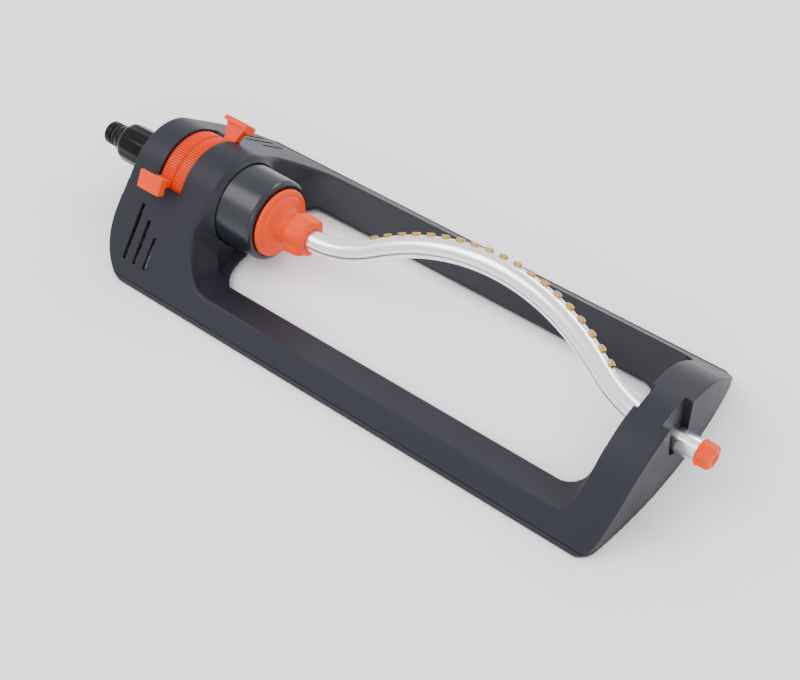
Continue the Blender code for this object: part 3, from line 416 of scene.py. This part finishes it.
def soften(piece, width, segments=3, angle=28):
    """Round the edges and keep flat faces flat in the shading."""
    bevel = piece.modifiers.new("edge", "BEVEL")
    bevel.width = width
    bevel.segments = segments
    bevel.limit_method = "ANGLE"
    bevel.angle_limit = math.radians(angle)
    bevel.use_clamp_overlap = True
    bevel.miter_outer = "MITER_ARC"
    bake(piece)
    piece.data.shade_smooth()
    piece.data.set_sharp_from_angle(angle=math.radians(50))
    weighted = piece.modifiers.new("normals", "WEIGHTED_NORMAL")
    weighted.keep_sharp = True
    weighted.weight = 80


def weigh_ridge(piece):
    """Weights that pick the cowl's front ridge and its sloping face, clear of the recess."""
    group = piece.vertex_groups.new(name="ridge")
    ramp = 6 * MM
    margin = 2 * MM
    recess_side = BASE_WIDTH / 2 - RAIL_WIDTH + margin
    for vertex in piece.data.vertices:
        x = vertex.co.x - REAR
        out = abs(vertex.co.y)
        from_axis = math.hypot(out, vertex.co.z - AXIS_HEIGHT)
        in_recess = x > WINDOW_START - RECESS_DEPTH - margin and out < recess_side
        in_bore = from_axis < MOTOR_RADIUS + 3 * MM
        if in_recess or in_bore or vertex.co.z < LIP_HEIGHT + margin:
            continue
        weight = min(1.0, (x - MOTOR_SPLIT) / ramp, (MOTOR_FACE + 3 * ramp - x) / (3 * ramp))
        if weight > 0:
            group.add([vertex.index], weight, "REPLACE")
    return group.name


def melt(piece, voxel, rounds, ridge_rounds):
    """Round every edge as moulding does: an even mesh, smoothed, and smoothed more on the ridge."""
    even = piece.modifiers.new("even", "REMESH")
    even.mode = "VOXEL"
    even.voxel_size = voxel
    bake(piece)
    group = weigh_ridge(piece)
    ridge = piece.modifiers.new("ridge", "SMOOTH")
    ridge.vertex_group = group
    ridge.factor = 0.5
    ridge.iterations = ridge_rounds
    edges = piece.modifiers.new("edges", "SMOOTH")
    edges.factor = 0.5
    edges.iterations = rounds
    bake(piece)
    piece.vertex_groups.clear()
    piece.data.shade_smooth()


def finish_piece(piece, body, slot, *nodes):
    """Material, body and the solids that a piece stands for."""
    piece.data.materials.clear()
    piece.data.materials.append(materials[slot])
    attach(piece, body)
    if nodes:
        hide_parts(*nodes)


# Base ------------------------------------------------------------------------------------------

def arch_section(radius, centre_z, inset=0.0):
    """Half round back with straight flanks that run down to the lip, seen along X."""
    steps = 28
    foot_y = BASE_WIDTH / 2 - LIP_WIDTH
    reach = math.hypot(foot_y, LIP_HEIGHT - centre_z)
    lean = math.asin(radius / reach) - math.atan2(LIP_HEIGHT - centre_z, foot_y)
    half = [(math.sin(a), math.cos(a)) for a in (lean * i / steps for i in range(steps, -1, -1))]
    half = [((radius - inset) * y, centre_z + (radius - inset) * z) for y, z in half]
    if inset:
        floor = -2 * SHELL_WALL
        low_y = (radius - inset - (floor - centre_z) * math.cos(lean)) / math.sin(lean)
        feet = [(low_y, floor)]
    else:
        side = BASE_WIDTH / 2
        feet = [(side, 0), (side, LIP_HEIGHT * 0.7), (foot_y, LIP_HEIGHT)]
    half = feet + half
    return half + [(-y, z) for y, z in reversed(half[:-1])]


def arch_body(name, inset=0.0):
    """The length of the base: the cowl's section, running over into the crossbar's."""
    cowl = arch_section(COWL_RADIUS, AXIS_HEIGHT, inset)
    crossbar_centre = AXIS_HEIGHT + CROSSBAR_RISE - CROSSBAR_RADIUS
    crossbar = arch_section(CROSSBAR_RADIUS, crossbar_centre, inset)
    stations = ((-REAR_LEAN, cowl), (COWL_FRONT, cowl), (CROSSBAR_BACK, crossbar),
                (BASE_LENGTH + REAR_LEAN, crossbar))
    loops = [[(x, y, z) for y, z in section] for x, section in stations]
    return skin(name, loops, ON_GROUND)


def plan_outline(z, inset=0.0):
    """The base's outline seen from above at height z, with round corners and a bowed front."""
    rise = z / (AXIS_HEIGHT + COWL_RADIUS)
    rear = REAR_LEAN * rise + inset
    tuck = 1 - z / (AXIS_HEIGHT + CROSSBAR_RISE)
    front = BASE_LENGTH - FRONT_UNDERCUT * tuck - inset
    side = BASE_WIDTH / 2 + SHELL_WALL / 4 - inset
    quarter = math.pi / 2
    half = []
    for radius, x, sign in ((FRONT_CORNER, front, 1), (REAR_CORNER, rear, -1)):
        centre = (x - sign * radius, side - radius)
        start = 0 if sign > 0 else quarter
        half.extend(arc(radius, start, start + quarter, 16, centre))
    half = [(front, y * (side - FRONT_CORNER) / 40) for y in range(40)] + half
    loop = half + [(x, -y) for x, y in reversed(half[1:])]
    bow = FRONT_BOW * max(tuck, 0)
    return [(x - bow * (y / side) ** 2 if x > BASE_LENGTH / 2 else x, y, z) for x, y in loop]


def plan_body(name, inset=0.0):
    """An upright guide with the base's outline seen from above."""
    return skin(name, [plan_outline(-3 * SHELL_WALL, inset), plan_outline(TALL, inset)], ON_GROUND)


def window_outline(z, start, end, side, rear, front, spread=None):
    """A rectangle with round corners at height z; spread cuts the rear corners' arcs short."""
    quarter = math.pi / 2
    spread = rear if spread is None else spread
    half = arc(front, 0, quarter, 24, (end - front, side - front))
    turn = math.asin(spread / rear)
    half += arc(rear, math.pi - turn, math.pi, 24, (start + rear, side - spread))
    return [(x, y, z) for x, y in half + [(x, -y) for x, y in reversed(half)]]


def window_foot(z, wall):
    """The window's lower edge at height z, a wall further out."""
    return window_outline(z, WINDOW_START - wall, WINDOW_END + wall, BASE_WIDTH / 2 - RAIL_WIDTH,
                          WINDOW_REAR_CORNER, WINDOW_FRONT_CORNER, WINDOW_REAR_SPREAD)


def window_body(name, wall=0.0):
    """The open window with its sloping sides, or the same a wall further out and lower."""
    drop = HOLLOW_DROP * wall
    crease = BASE_WIDTH / 2 - RAIL_CREASE
    start = WINDOW_START - wall
    back = COWL_FRONT - wall
    front = CROSSBAR_BACK - 1 * MM + wall
    slope = (CREASE_HEIGHT - RAIL_FLOOR) / (SHOULDER_HEIGHT - RAIL_FLOOR)
    corner = CREASE_CORNER
    sharper = CREASE_FRONT_CORNER / 2
    loops = [
        window_foot(RAIL_FLOOR - drop, wall),
        window_outline(CREASE_HEIGHT - drop, start + (back - start) * slope, front - 3 * MM,
                       crease, corner, CREASE_FRONT_CORNER),
        window_outline(SHOULDER_HEIGHT - drop, back, front, crease, corner, sharper),
        window_outline(TALL, back + 1.5 * MM, front + 2.5 * MM, crease, corner, sharper),
    ]
    if not wall:
        loops.insert(0, window_foot(-RAIL_FLOOR, wall))
    return skin(name, loops, ON_GROUND)


def recess_body(name, wall=0.0):
    """The upright-sided recess behind the window's rear edge, or the same a wall further out."""
    drop = HOLLOW_DROP * wall
    side = BASE_WIDTH / 2 - RAIL_WIDTH
    start = WINDOW_START - RECESS_DEPTH - wall
    end = WINDOW_END + wall
    low = window_foot(RAIL_FLOOR - drop, wall)
    high = [window_outline(z, start, end, side + wall, RECESS_CORNER, WINDOW_FRONT_CORNER)
            for z in (RECESS_FLOOR - drop, TALL)]
    return skin(name, [low] + high, ON_GROUND)


def collar_body():
    """The hollow-sided collar where the cowl meets the motor."""
    root = MOTOR_RADIUS + GAP
    steps = 14
    profile = [(COLLAR_FRONT, 0)]
    for step in range(steps + 1):
        share = step / steps
        profile.append((COLLAR_FRONT - (COLLAR_FRONT - COWL_FRONT) * math.sin(share * math.pi / 2),
                        root + (COLLAR_RADIUS - root) * share ** 1.6))
    profile += [(MOTOR_SPLIT, COLLAR_RADIUS), (MOTOR_SPLIT, 0)]
    return turned("guide_collar", profile)


def vent_body(name, x, top, side):
    """A slot with round ends, square to the cowl's flank."""
    flank = math.radians(45)
    foot_y = AXIS_HEIGHT + COWL_RADIUS * math.sqrt(2) - VENT_FOOT
    length = (top - VENT_FOOT) / math.sin(flank)
    half = VENT_WIDTH / 2
    outline = arc(half, 0, math.pi, 10, (0, length - half))
    outline += arc(half, math.pi, 2 * math.pi, 10, (0, half))
    along = Vector((0, -side * math.cos(flank), math.sin(flank)))
    out = Vector((0, side * math.sin(flank), math.cos(flank)))
    foot = Vector((x, side * foot_y, VENT_FOOT))
    loops = []
    for depth in (-5 * SHELL_WALL, 3 * SHELL_WALL):
        loops.append([foot + Vector((px, 0, 0)) + along * pz + out * depth for px, pz in outline])
    return skin(name, loops, ON_GROUND)


def slot_body():
    """The sector of the cowl that is open over the range rings."""
    up = math.pi / 2
    outline = arc(RING_OUTER + 9 * MM, up - SLOT_HALF_ANGLE, up + SLOT_HALF_ANGLE, 40)
    outline += arc(RING_INNER - 2 * MM, up + SLOT_HALF_ANGLE, up - SLOT_HALF_ANGLE, 40)
    return prism("guide_slot", outline, RING_START - 2 * GAP,
                 RING_START + RING_PITCH + RING_WIDTH + 2 * GAP)


def channel(name, radius, x0, x1, rise, flare=0.0):
    """A U-shaped guide round the axis: open upwards if rise is positive, else downwards."""
    turn = math.pi if rise > 0 else 0
    outline = arc(radius, turn, turn + math.pi, 40)
    outline += [(math.copysign(radius + flare, outline[-1][0]), rise),
                (math.copysign(radius + flare, outline[0][0]), rise)]
    return prism(name, outline, x0, x1)


def groove_body():
    """The thin groove above the base's lip."""
    limit = BASE_WIDTH / 2 - LIP_WIDTH - 0.5 * MM
    loops = []
    for z, inset in ((LIP_HEIGHT - 0.5 * MM, -9 * MM), (LIP_HEIGHT + 0.5 * MM, -9 * MM),
                     (LIP_HEIGHT + 0.3 * MM, 0.6 * MM), (LIP_HEIGHT - 0.3 * MM, 0.6 * MM)):
        loop = plan_outline(z, inset)
        if inset > 0:
            loop = [(x, max(-limit, min(limit, y)), z) for x, y, z in loop]
        loops.append(loop)
    return skin("guide_lip_groove", loops, ON_GROUND, ring=True)


def build_bush():
    """The tube's bearing in the crossbar, with its end face flush with the pocket."""
    start = ARCH_END + 0.6 * MM
    flange = BASE_LENGTH - 10 * MM - GAP
    end = BASE_LENGTH - POCKET_DEPTH
    inner = TUBE_RADIUS + 0.15 * MM
    outer = BUSH_RADIUS + 0.25 * MM
    profile = [(start, inner), (start, outer + 2 * MM), (flange, outer + 2 * MM), (flange, outer),
               (end, outer), (end, inner)]
    bush = turned("bearing_bush", rounded(profile, 0.2 * MM))
    finish_piece(bush, "base", "base_plastic", "crossbar_bush")


def build_base():
    """The moulding again, with fine rounds and softened edges."""
    base = arch_body("base_moulding")
    combine(base, plan_body("guide_plan"), "INTERSECT")
    window = window_body("guide_window")
    combine(window, collar_body())
    combine(base, window)
    combine(base, recess_body("guide_recess"))

    hollow = arch_body("guide_hollow", SHELL_WALL)
    combine(hollow, plan_body("guide_hollow_plan", SHELL_WALL), "INTERSECT")
    combine(hollow, window_body("guide_hollow_window", SHELL_WALL))
    combine(hollow, recess_body("guide_hollow_recess", SHELL_WALL))
    low = (BASE_LENGTH - 10 * MM, -14.5 * MM, AXIS_HEIGHT - 15 * MM)
    bearing = [(low[1], low[2]), (-low[1], low[2]), (-low[1], TALL), (low[1], TALL)]
    combine(hollow, prism("guide_bearing_block", bearing, low[0], BASE_LENGTH + 9 * MM, ON_GROUND))
    combine(base, hollow)

    melt(base, 0.6 * MM, 5, 60)

    cuts = [vent_body(f"guide_vent_{i}_{side}", VENT_START + VENT_PITCH * i, top, side)
            for side in (1, -1) for i, top in enumerate(VENT_TOPS)]
    groove = bar(RING_START - 2 * GAP, RING_START + RING_PITCH + RING_WIDTH + 2 * GAP,
                 RING_OUTER + 0.4 * MM)
    drain = [(DRAIN_HALF_WIDTH, -RAIL_FLOOR), (DRAIN_HALF_WIDTH, AXIS_HEIGHT),
             (-DRAIN_HALF_WIDTH, AXIS_HEIGHT), (-DRAIN_HALF_WIDTH, -RAIL_FLOOR)]
    bearing = bar(BASE_LENGTH - 15 * MM, BASE_LENGTH + 5 * MM, BUSH_RADIUS + GAP)
    cuts += [groove_body(), slot_body(), turned("guide_groove", groove),
             turned("guide_motor", bar(MOTOR_SPLIT, MOTOR_FACE, MOTOR_RADIUS + GAP)),
             prism("guide_drain", drain, MOTOR_SPLIT, WINDOW_START + RECESS_DEPTH, ON_GROUND),
             turned("guide_inlet", bar(-9 * MM, 17 * MM, STUB_RADIUS + 2 * GAP)),
             channel("guide_notch", NOTCH_HALF_WIDTH, WINDOW_END - 9 * MM,
                     CROSSBAR_BACK + NOTCH_DEPTH, AXIS_HEIGHT + 9 * MM),
             channel("guide_pocket", BUSH_RADIUS + 2 * GAP, BASE_LENGTH - POCKET_DEPTH,
                     BASE_LENGTH + 9 * MM, AXIS_HEIGHT, flare=POCKET_HALF_WIDTH - BUSH_RADIUS),
             turned("guide_bearing", bearing)]
    for cut in cuts:
        combine(base, cut, solver="MANIFOLD")
    base.data.shade_smooth()
    base.data.set_sharp_from_angle(angle=math.radians(48))
    finish_piece(base, "base", "base_plastic", "base_shell")


# Range rings -----------------------------------------------------------------------------------

def ribbed(x, radius, depth):
    """A loop with fine ribs all round."""
    loop = []
    for i in range(RING_RIBS):
        for share, reach in ((-0.27, 0), (-0.16, 1), (0.16, 1), (0.27, 0)):
            angle = 2 * math.pi * (i + share) / RING_RIBS
            r = radius - depth * (1 - reach)
            loop.append((x, r * math.cos(angle), r * math.sin(angle)))
    return loop


def build_range_ring(node, start, side, body):
    """A ribbed ring with a smooth rim, an arm through the slot and a hooked tab."""
    end = start + RING_WIDTH
    rim = 0.5 * MM
    deep = 1.25 * MM
    smooth = 4 * RING_RIBS
    edge = RING_OUTER - deep - rim
    loops = [circle(start, RING_INNER, smooth), circle(start, edge, smooth),
             circle(start + 0.3 * MM, RING_OUTER - deep, smooth),
             ribbed(start + rim, RING_OUTER - 0.25 * MM, deep - 0.25 * MM),
             ribbed(start + 2 * rim, RING_OUTER, deep), ribbed(end - 2 * rim, RING_OUTER, deep),
             ribbed(end - rim, RING_OUTER - 0.25 * MM, deep - 0.25 * MM),
             circle(end - 0.3 * MM, RING_OUTER - deep, smooth), circle(end, edge, smooth),
             circle(end, RING_INNER, smooth)]
    ring = skin(node + "_ribbed", loops, ON_AXIS, ring=True, sharp=35)
    finish_piece(ring, body, "orange_plastic", node)

    turn = math.pi / 2 + side * TAB_ANGLE
    out = Vector((0, math.cos(turn), math.sin(turn)))
    across = Vector((0, -out.z, out.y)) * -side
    middle = start + RING_WIDTH / 2

    def slab(label, outline, thick):
        """An (x, radius) outline made thick across the tab's direction."""
        loops = []
        for y in (-thick / 2, thick / 2):
            loops.append([Vector((middle + x, 0, 0)) + across * y + out * z for x, z in outline])
        return skin(f"{node}_{label}", loops, ON_AXIS)

    half = TAB_LENGTH / 2
    foot = WEB_FOOT / 2
    web = [(-foot, RING_OUTER - 1.2 * MM), (foot, RING_OUTER - 1.2 * MM),
           (foot, COWL_RADIUS + 1 * MM),
           (half - 2 * MM, TAB_REACH), (half - 2 * MM, TAB_REACH + 1 * MM),
           (1 * MM - half, TAB_REACH + 1 * MM), (1 * MM - half, TAB_REACH),
           (-foot, COWL_RADIUS + 1 * MM)]
    hook = TAB_REACH - 2 * MM
    top = TAB_REACH + TAB_THICK
    plate = [(-half, TAB_REACH), (half - 2 * MM, TAB_REACH), (half - 1.6 * MM, hook), (half, hook),
             (half, top - 1 * MM), (half - 1 * MM, top), (1 * MM - half, top), (-half, top - 1 * MM)]
    tab = slab("tab", plate, TAB_WIDTH)
    combine(tab, slab("web", web, WEB_THICK), "UNION")
    soften(tab, 0.6 * MM, segments=4)
    finish_piece(tab, body, "orange_plastic")


# Water motor -----------------------------------------------------------------------------------

def build_motor():
    """The motor's front case, with its soft nose and a moulded step."""
    inner = MOTOR_RADIUS - MOTOR_WALL
    seam = MOTOR_SPLIT + GAP / 2
    hole = 7.2 * MM
    rim = 3.2 * MM
    step = MOTOR_FACE - 0.4 * MM
    profile = [(seam, inner), (MOTOR_FACE - 3 * MM, inner - 1 * MM), (MOTOR_FACE - 3 * MM, hole),
               (step, hole), (step, MOTOR_NOSE_RADIUS - rim - 0.7 * MM),
               (MOTOR_FACE, MOTOR_NOSE_RADIUS - rim - 0.3 * MM)]
    nose = arc(rim, 0, math.pi / 2, 12, (MOTOR_FACE - rim, MOTOR_NOSE_RADIUS - rim))
    profile += nose + [(seam, MOTOR_RADIUS)]
    case = turned("motor_front", profile, sides=144, sharp=40)
    finish_piece(case, "base", "motor_plastic", "front_housing")


def build_socket():
    """The orange flange and the fluted collar that grips the tube."""
    flange = SOCKET_FLANGE
    sides = 144
    start = SOCKET_START
    bore = 3.4 * MM
    floor = TUBE_START - 1.3 * MM
    plain = [(floor, bore), (start, bore), (start, flange - 0.4 * MM),
             (start + 0.4 * MM, flange), (start + 1.8 * MM, flange),
             (start + 2.4 * MM, flange - 0.3 * MM),
             (start + 2.9 * MM, flange - 1.1 * MM), (start + 3.2 * MM, flange - 3.6 * MM),
             (start + 3.4 * MM, flange - 4.0 * MM), (start + 4.6 * MM, flange - 4.5 * MM),
             (start + 5.0 * MM, flange - 5.1 * MM), (start + 5.8 * MM, 14.8 * MM),
             (start + 6.8 * MM, 12.4 * MM), (start + 8.4 * MM, 11.0 * MM),
             (start + 10.6 * MM, 10.7 * MM)]
    loops = [circle(x, radius, sides) for x, radius in plain]
    collar = [(12.4, 11.3, 0.2), (13.8, 12.6, 0.9), (15.2, 13.9, 1.8), (16.4, 14.4, 2.2),
              (18.4, 14.35, 2.3), (24.0, 13.7, 2.2), (26.2, 13.2, 1.9), (27.2, 12.3, 1.4),
              (27.8, 11.2, 0.8)]
    loops += [circle(start + x * MM, radius * MM, sides, lobes=GRIP_LOBES, depth=depth * MM)
              for x, radius, depth in collar]
    hole = TUBE_RADIUS + 0.1 * MM
    loops += [circle(SOCKET_END, 9.6 * MM, sides), circle(SOCKET_END, hole + 0.4 * MM, sides),
              circle(SOCKET_END - 0.4 * MM, hole, sides), circle(floor, hole, sides)]
    socket = skin("socket_collar", loops, ON_TUBE, ring=True, sharp=50)
    finish_piece(socket, "spray_arm", "orange_plastic", "tube_socket")


# Spray tube ------------------------------------------------------------------------------------

def centreline(run):
    """Place and slope of the tube's centreline, run metres along it from the top of the arch."""
    sign = math.copysign(1, run)
    run = abs(run)
    arch = ARCH_RADIUS * ARCH_SLOPE
    if run < arch:
        turn = run / ARCH_RADIUS
        x = ARCH_RADIUS * math.sin(turn)
        height = ARCH_PEAK - ARCH_RADIUS * (1 - math.cos(turn))
    elif run < arch + ARCH_STRAIGHT:
        turn = ARCH_SLOPE
        x = ARCH_RADIUS * math.sin(turn) + (run - arch) * math.cos(turn)
        height = ARCH_PEAK - ARCH_RADIUS * (1 - math.cos(turn)) - (run - arch) * math.sin(turn)
    elif run < arch + ARCH_STRAIGHT + BEND_RADIUS * ARCH_SLOPE:
        turn = ARCH_SLOPE - (run - arch - ARCH_STRAIGHT) / BEND_RADIUS
        x = HALF_ARCH - BEND_RADIUS * math.sin(turn)
        height = BEND_RADIUS * (1 - math.cos(turn))
    else:
        turn = 0.0
        x = HALF_ARCH + run - arch - ARCH_STRAIGHT - BEND_RADIUS * ARCH_SLOPE
        height = 0.0
    return Vector((ARCH_MIDDLE + sign * x, 0, height)), -sign * turn


def build_spray_tube():
    """The bent tube, with its ends slightly rounded."""
    sides = 64
    straight = (ARCH_RADIUS + BEND_RADIUS) * ARCH_SLOPE + ARCH_STRAIGHT
    start = -straight - (ARCH_START - TUBE_START)
    end = straight + TUBE_END - ARCH_END
    steps = 150
    outer = [(start + (end - start) * i / steps, TUBE_RADIUS) for i in range(steps + 1)]
    outer[0] = (start, TUBE_RADIUS - 0.2 * MM)
    outer[-1] = (end, TUBE_RADIUS - 0.3 * MM)
    outer.insert(-1, (end - 0.3 * MM, TUBE_RADIUS))
    inner = [(run, TUBE_RADIUS - TUBE_WALL) for run, _ in reversed(outer)]
    loops = []
    for run, radius in outer + inner:
        middle, slope = centreline(run)
        normal = Vector((-math.sin(slope), 0, math.cos(slope)))
        ring = []
        for i in range(sides):
            turn = 2 * math.pi * i / sides
            ring.append(middle + normal * (radius * math.cos(turn))
                        + Vector((0, radius * math.sin(turn), 0)))
        loops.append(ring)
    tube = skin("arched_tube", loops, ON_TUBE, ring=True, sharp=40)
    finish_piece(tube, "spray_arm", "aluminium", "spray_tube")


def build_nozzles():
    """Brass nozzles, each with a chamfered rim, a cupped face and its orifice."""
    rim = NOZZLE_RADIUS
    profile = [(NOZZLE_TOP - 1.2 * MM, 0.45 * MM), (NOZZLE_FOOT, 0.45 * MM), (NOZZLE_FOOT, rim),
               (TUBE_RADIUS - 0.1 * MM, rim), (NOZZLE_TOP - 0.7 * MM, rim),
               (NOZZLE_TOP - 0.5 * MM, rim - 0.05 * MM), (NOZZLE_TOP - 0.1 * MM, rim - 0.45 * MM),
               (NOZZLE_TOP, rim - 0.65 * MM), (NOZZLE_TOP, 1.5 * MM),
               (NOZZLE_TOP - 0.25 * MM, 1.25 * MM), (NOZZLE_TOP - 0.3 * MM, 0.7 * MM)]
    for number in range(NOZZLE_COUNT):
        middle, slope = centreline(NOZZLE_PITCH * (number - (NOZZLE_COUNT - 1) / 2))
        place = ON_TUBE @ Matrix.Translation(middle) @ Matrix.Rotation(-math.pi / 2 - slope, 4, "Y")
        nozzle = turned(f"brass_nozzle_{number + 1:02d}", profile, place, sides=32, sharp=40)
        finish_piece(nozzle, "spray_arm", "brass", f"nozzle_{number + 1:02d}")


def build_end_plug():
    """The plug's collar and its six-lobed grip."""
    head = TUBE_END + GAP
    sides = 96
    stem = 5.2 * MM
    tip = head - 10 * MM
    plain = [(tip, 0), (tip, 4.6 * MM), (head - 9.4 * MM, stem), (head, stem), (head, 7.7 * MM),
             (head + 0.3 * MM, 8 * MM), (head + 1.1 * MM, 8 * MM), (head + 1.4 * MM, 7.8 * MM)]
    loops = [circle(x, radius, sides) for x, radius in plain]
    grip = [(head + 1.7 * MM, 7.8 * MM), (PLUG_END - 2.2 * MM, 7.7 * MM),
            (PLUG_END - 1.0 * MM, 7.3 * MM), (PLUG_END - 0.3 * MM, 6.6 * MM), (PLUG_END, 5.6 * MM)]
    loops += [circle(x, radius, sides, lobes=GRIP_LOBES, depth=1.2 * MM) for x, radius in grip]
    loops += [circle(PLUG_END, 3.6 * MM, sides), circle(PLUG_END - 0.7 * MM, 3.3 * MM, sides),
              circle(PLUG_END - 0.7 * MM, 0)]
    plug = skin("plug_grip", loops, ON_TUBE, sharp=40)
    finish_piece(plug, "end_cap", "orange_plastic", "end_plug")


# Hose connector --------------------------------------------------------------------------------

def build_connector():
    """The ribbed swivel nut, the nipple with its groove, and the ring in it."""
    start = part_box("swivel_nut")[0].x - REAR
    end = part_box("swivel_nut")[1].x - REAR
    outer = NUT_RADIUS
    neck = 7.1 * MM
    thread = STUB_RADIUS + GAP
    sides = 288
    profile = [(end, thread, 0), (start + 6.5 * MM, thread, 0), (start + 6.5 * MM, neck, 0),
               (start, neck, 0),
               (start, outer - 3.6 * MM, 0), (start + 0.5 * MM, outer - 3.0 * MM, 0),
               (start + 2.5 * MM, outer - 1.2 * MM, 0.1), (start + 4.0 * MM, outer - 0.3 * MM, 0.3),
               (start + 6.0 * MM, outer, 0.45), (end - 7.0 * MM, outer, 0.45),
               (end - 5.6 * MM, outer - 0.3 * MM, 0.2),
               (end - 5.0 * MM, outer - 0.7 * MM, 0), (end - 0.6 * MM, outer - 0.7 * MM, 0),
               (end, outer - 1.2 * MM, 0)]
    loops = [circle(x, radius, sides, lobes=NUT_LOBES, depth=depth * MM)
             for x, radius, depth in profile]
    nut = skin("ribbed_nut", loops, ON_AXIS, ring=True, sharp=35)
    finish_piece(nut, "hose_connector", "black_plastic", "swivel_nut")

    tip = NIPPLE_TIP
    radius = NIPPLE_RADIUS
    groove = tip + 8 * MM
    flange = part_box("hose_nipple")[1].x - REAR
    neck = radius - 1.2 * MM
    body = [(flange, NIPPLE_BORE), (flange, STUB_RADIUS - GAP),
            (flange - 2.6 * MM, STUB_RADIUS - GAP), (flange - 2.6 * MM, neck),
            (tip + 15.5 * MM, neck), (tip + 15.5 * MM, radius + 1 * MM),
            (tip + 12.5 * MM, radius + 1 * MM), (tip + 12 * MM, radius),
            (groove + 1.3 * MM, radius - 0.4 * MM), (groove + 1.3 * MM, radius - 2.2 * MM),
            (groove - 1.3 * MM, radius - 2.2 * MM), (groove - 1.3 * MM, radius - 0.6 * MM),
            (tip + 5.5 * MM, radius), (tip + 1.5 * MM, radius), (tip, radius - 1.2 * MM),
            (tip, NIPPLE_BORE)]
    nipple = turned("coupling_nipple", rounded(body, 0.5 * MM), sides=96, sharp=40)
    finish_piece(nipple, "hose_connector", "black_plastic", "hose_nipple")
    seat = radius - 1.9 * MM
    ring = arc(0.95 * MM, 0, 2 * math.pi * 15 / 16, 15, (groove, seat + 0.95 * MM))
    seal = turned("nipple_seal", ring, sides=72, sharp=80)
    finish_piece(seal, "hose_connector", "rubber", "nipple_oring")


# Solids kept as they are -----------------------------------------------------------------------

def dress_solids():
    """Give every solid that still shows its own material and smooth shading."""
    slots = {row["node"]: row["material_slot"] for row in frame["record"]["subparts"]}
    for name, node in frame["nodes"].items():
        node.data.materials.clear()
        node.data.materials.append(materials[slots[name]])
        node.data.shade_smooth()
        node.data.set_sharp_from_angle(angle=math.radians(30))


# Stage -----------------------------------------------------------------------------------------

def area_light(name, place, aim, size, power):
    """A soft lamp of the given width and height, turned to its aim."""
    light = bpy.data.lights.new(name, "AREA")
    light.shape = "RECTANGLE"
    light.size = size[0]
    light.size_y = size[1]
    light.energy = power
    lamp = bpy.data.objects.new(name, light)
    lamp.location = place
    lamp.rotation_euler = (Vector(aim) - Vector(place)).to_track_quat("-Z", "Y").to_euler()
    bpy.context.scene.collection.objects.link(lamp)


def build_floor():
    """The pale ground that the sprinkler stands on."""
    mesh = bpy.data.meshes.new("floor")
    reach = FLOOR_REACH
    corners = [(-reach, -reach, 0), (reach, -reach, 0), (reach, reach, 0), (-reach, reach, 0)]
    mesh.from_pydata(corners, [], [(0, 1, 2, 3)])
    floor = bpy.data.objects.new("floor", mesh)
    floor.location.z = -GAP
    nodes = Nodes("floor")
    tone = nodes.span(nodes.noise(3.0, detail=2.0), 0.0, 1.0)
    nodes.put(nodes.shader.inputs["Base Color"],
              nodes.blend(tone, (0.94, 0.94, 0.94, 1), (0.96, 0.96, 0.96, 1)))
    nodes.shader.inputs["Roughness"].default_value = 0.8
    mesh.materials.append(nodes.material)
    bpy.context.scene.collection.objects.link(floor)


def build_lights():
    """An even studio sky and three soft lamps."""
    world = bpy.data.worlds.new("studio")
    world.use_nodes = True
    background = world.node_tree.nodes["Background"]
    background.inputs["Color"].default_value = (0.97, 0.98, 1.0, 1)
    background.inputs["Strength"].default_value = SKY_STRENGTH
    bpy.context.scene.world = world
    for name, place, size, power in LAMPS:
        area_light(name, place, LAMP_AIM, size, power)


def build_camera():
    """The camera, set square from its right-hand and backward directions."""
    camera = bpy.data.cameras.new("camera")
    camera.sensor_width = 36
    camera.lens = CAMERA_LENS
    view = bpy.data.objects.new("camera", camera)
    back = Vector(CAMERA_BACK).normalized()
    up = back.cross(Vector(CAMERA_RIGHT)).normalized()
    right = up.cross(back)
    turn = Matrix((right, up, back)).transposed().to_4x4()
    view.matrix_world = Matrix.Translation(CAMERA_PLACE) @ turn
    bpy.context.scene.collection.objects.link(view)
    bpy.context.scene.camera = view


materials = make_materials()
dress_solids()
build_base()
build_range_ring("range_ring_rear", RING_START, 1, "rear_range_ring")
build_range_ring("range_ring_front", RING_START + RING_PITCH, -1, "front_range_ring")
build_motor()
build_socket()
build_spray_tube()
build_nozzles()
build_bush()
build_end_plug()
build_connector()
build_floor()
build_lights()
build_camera()
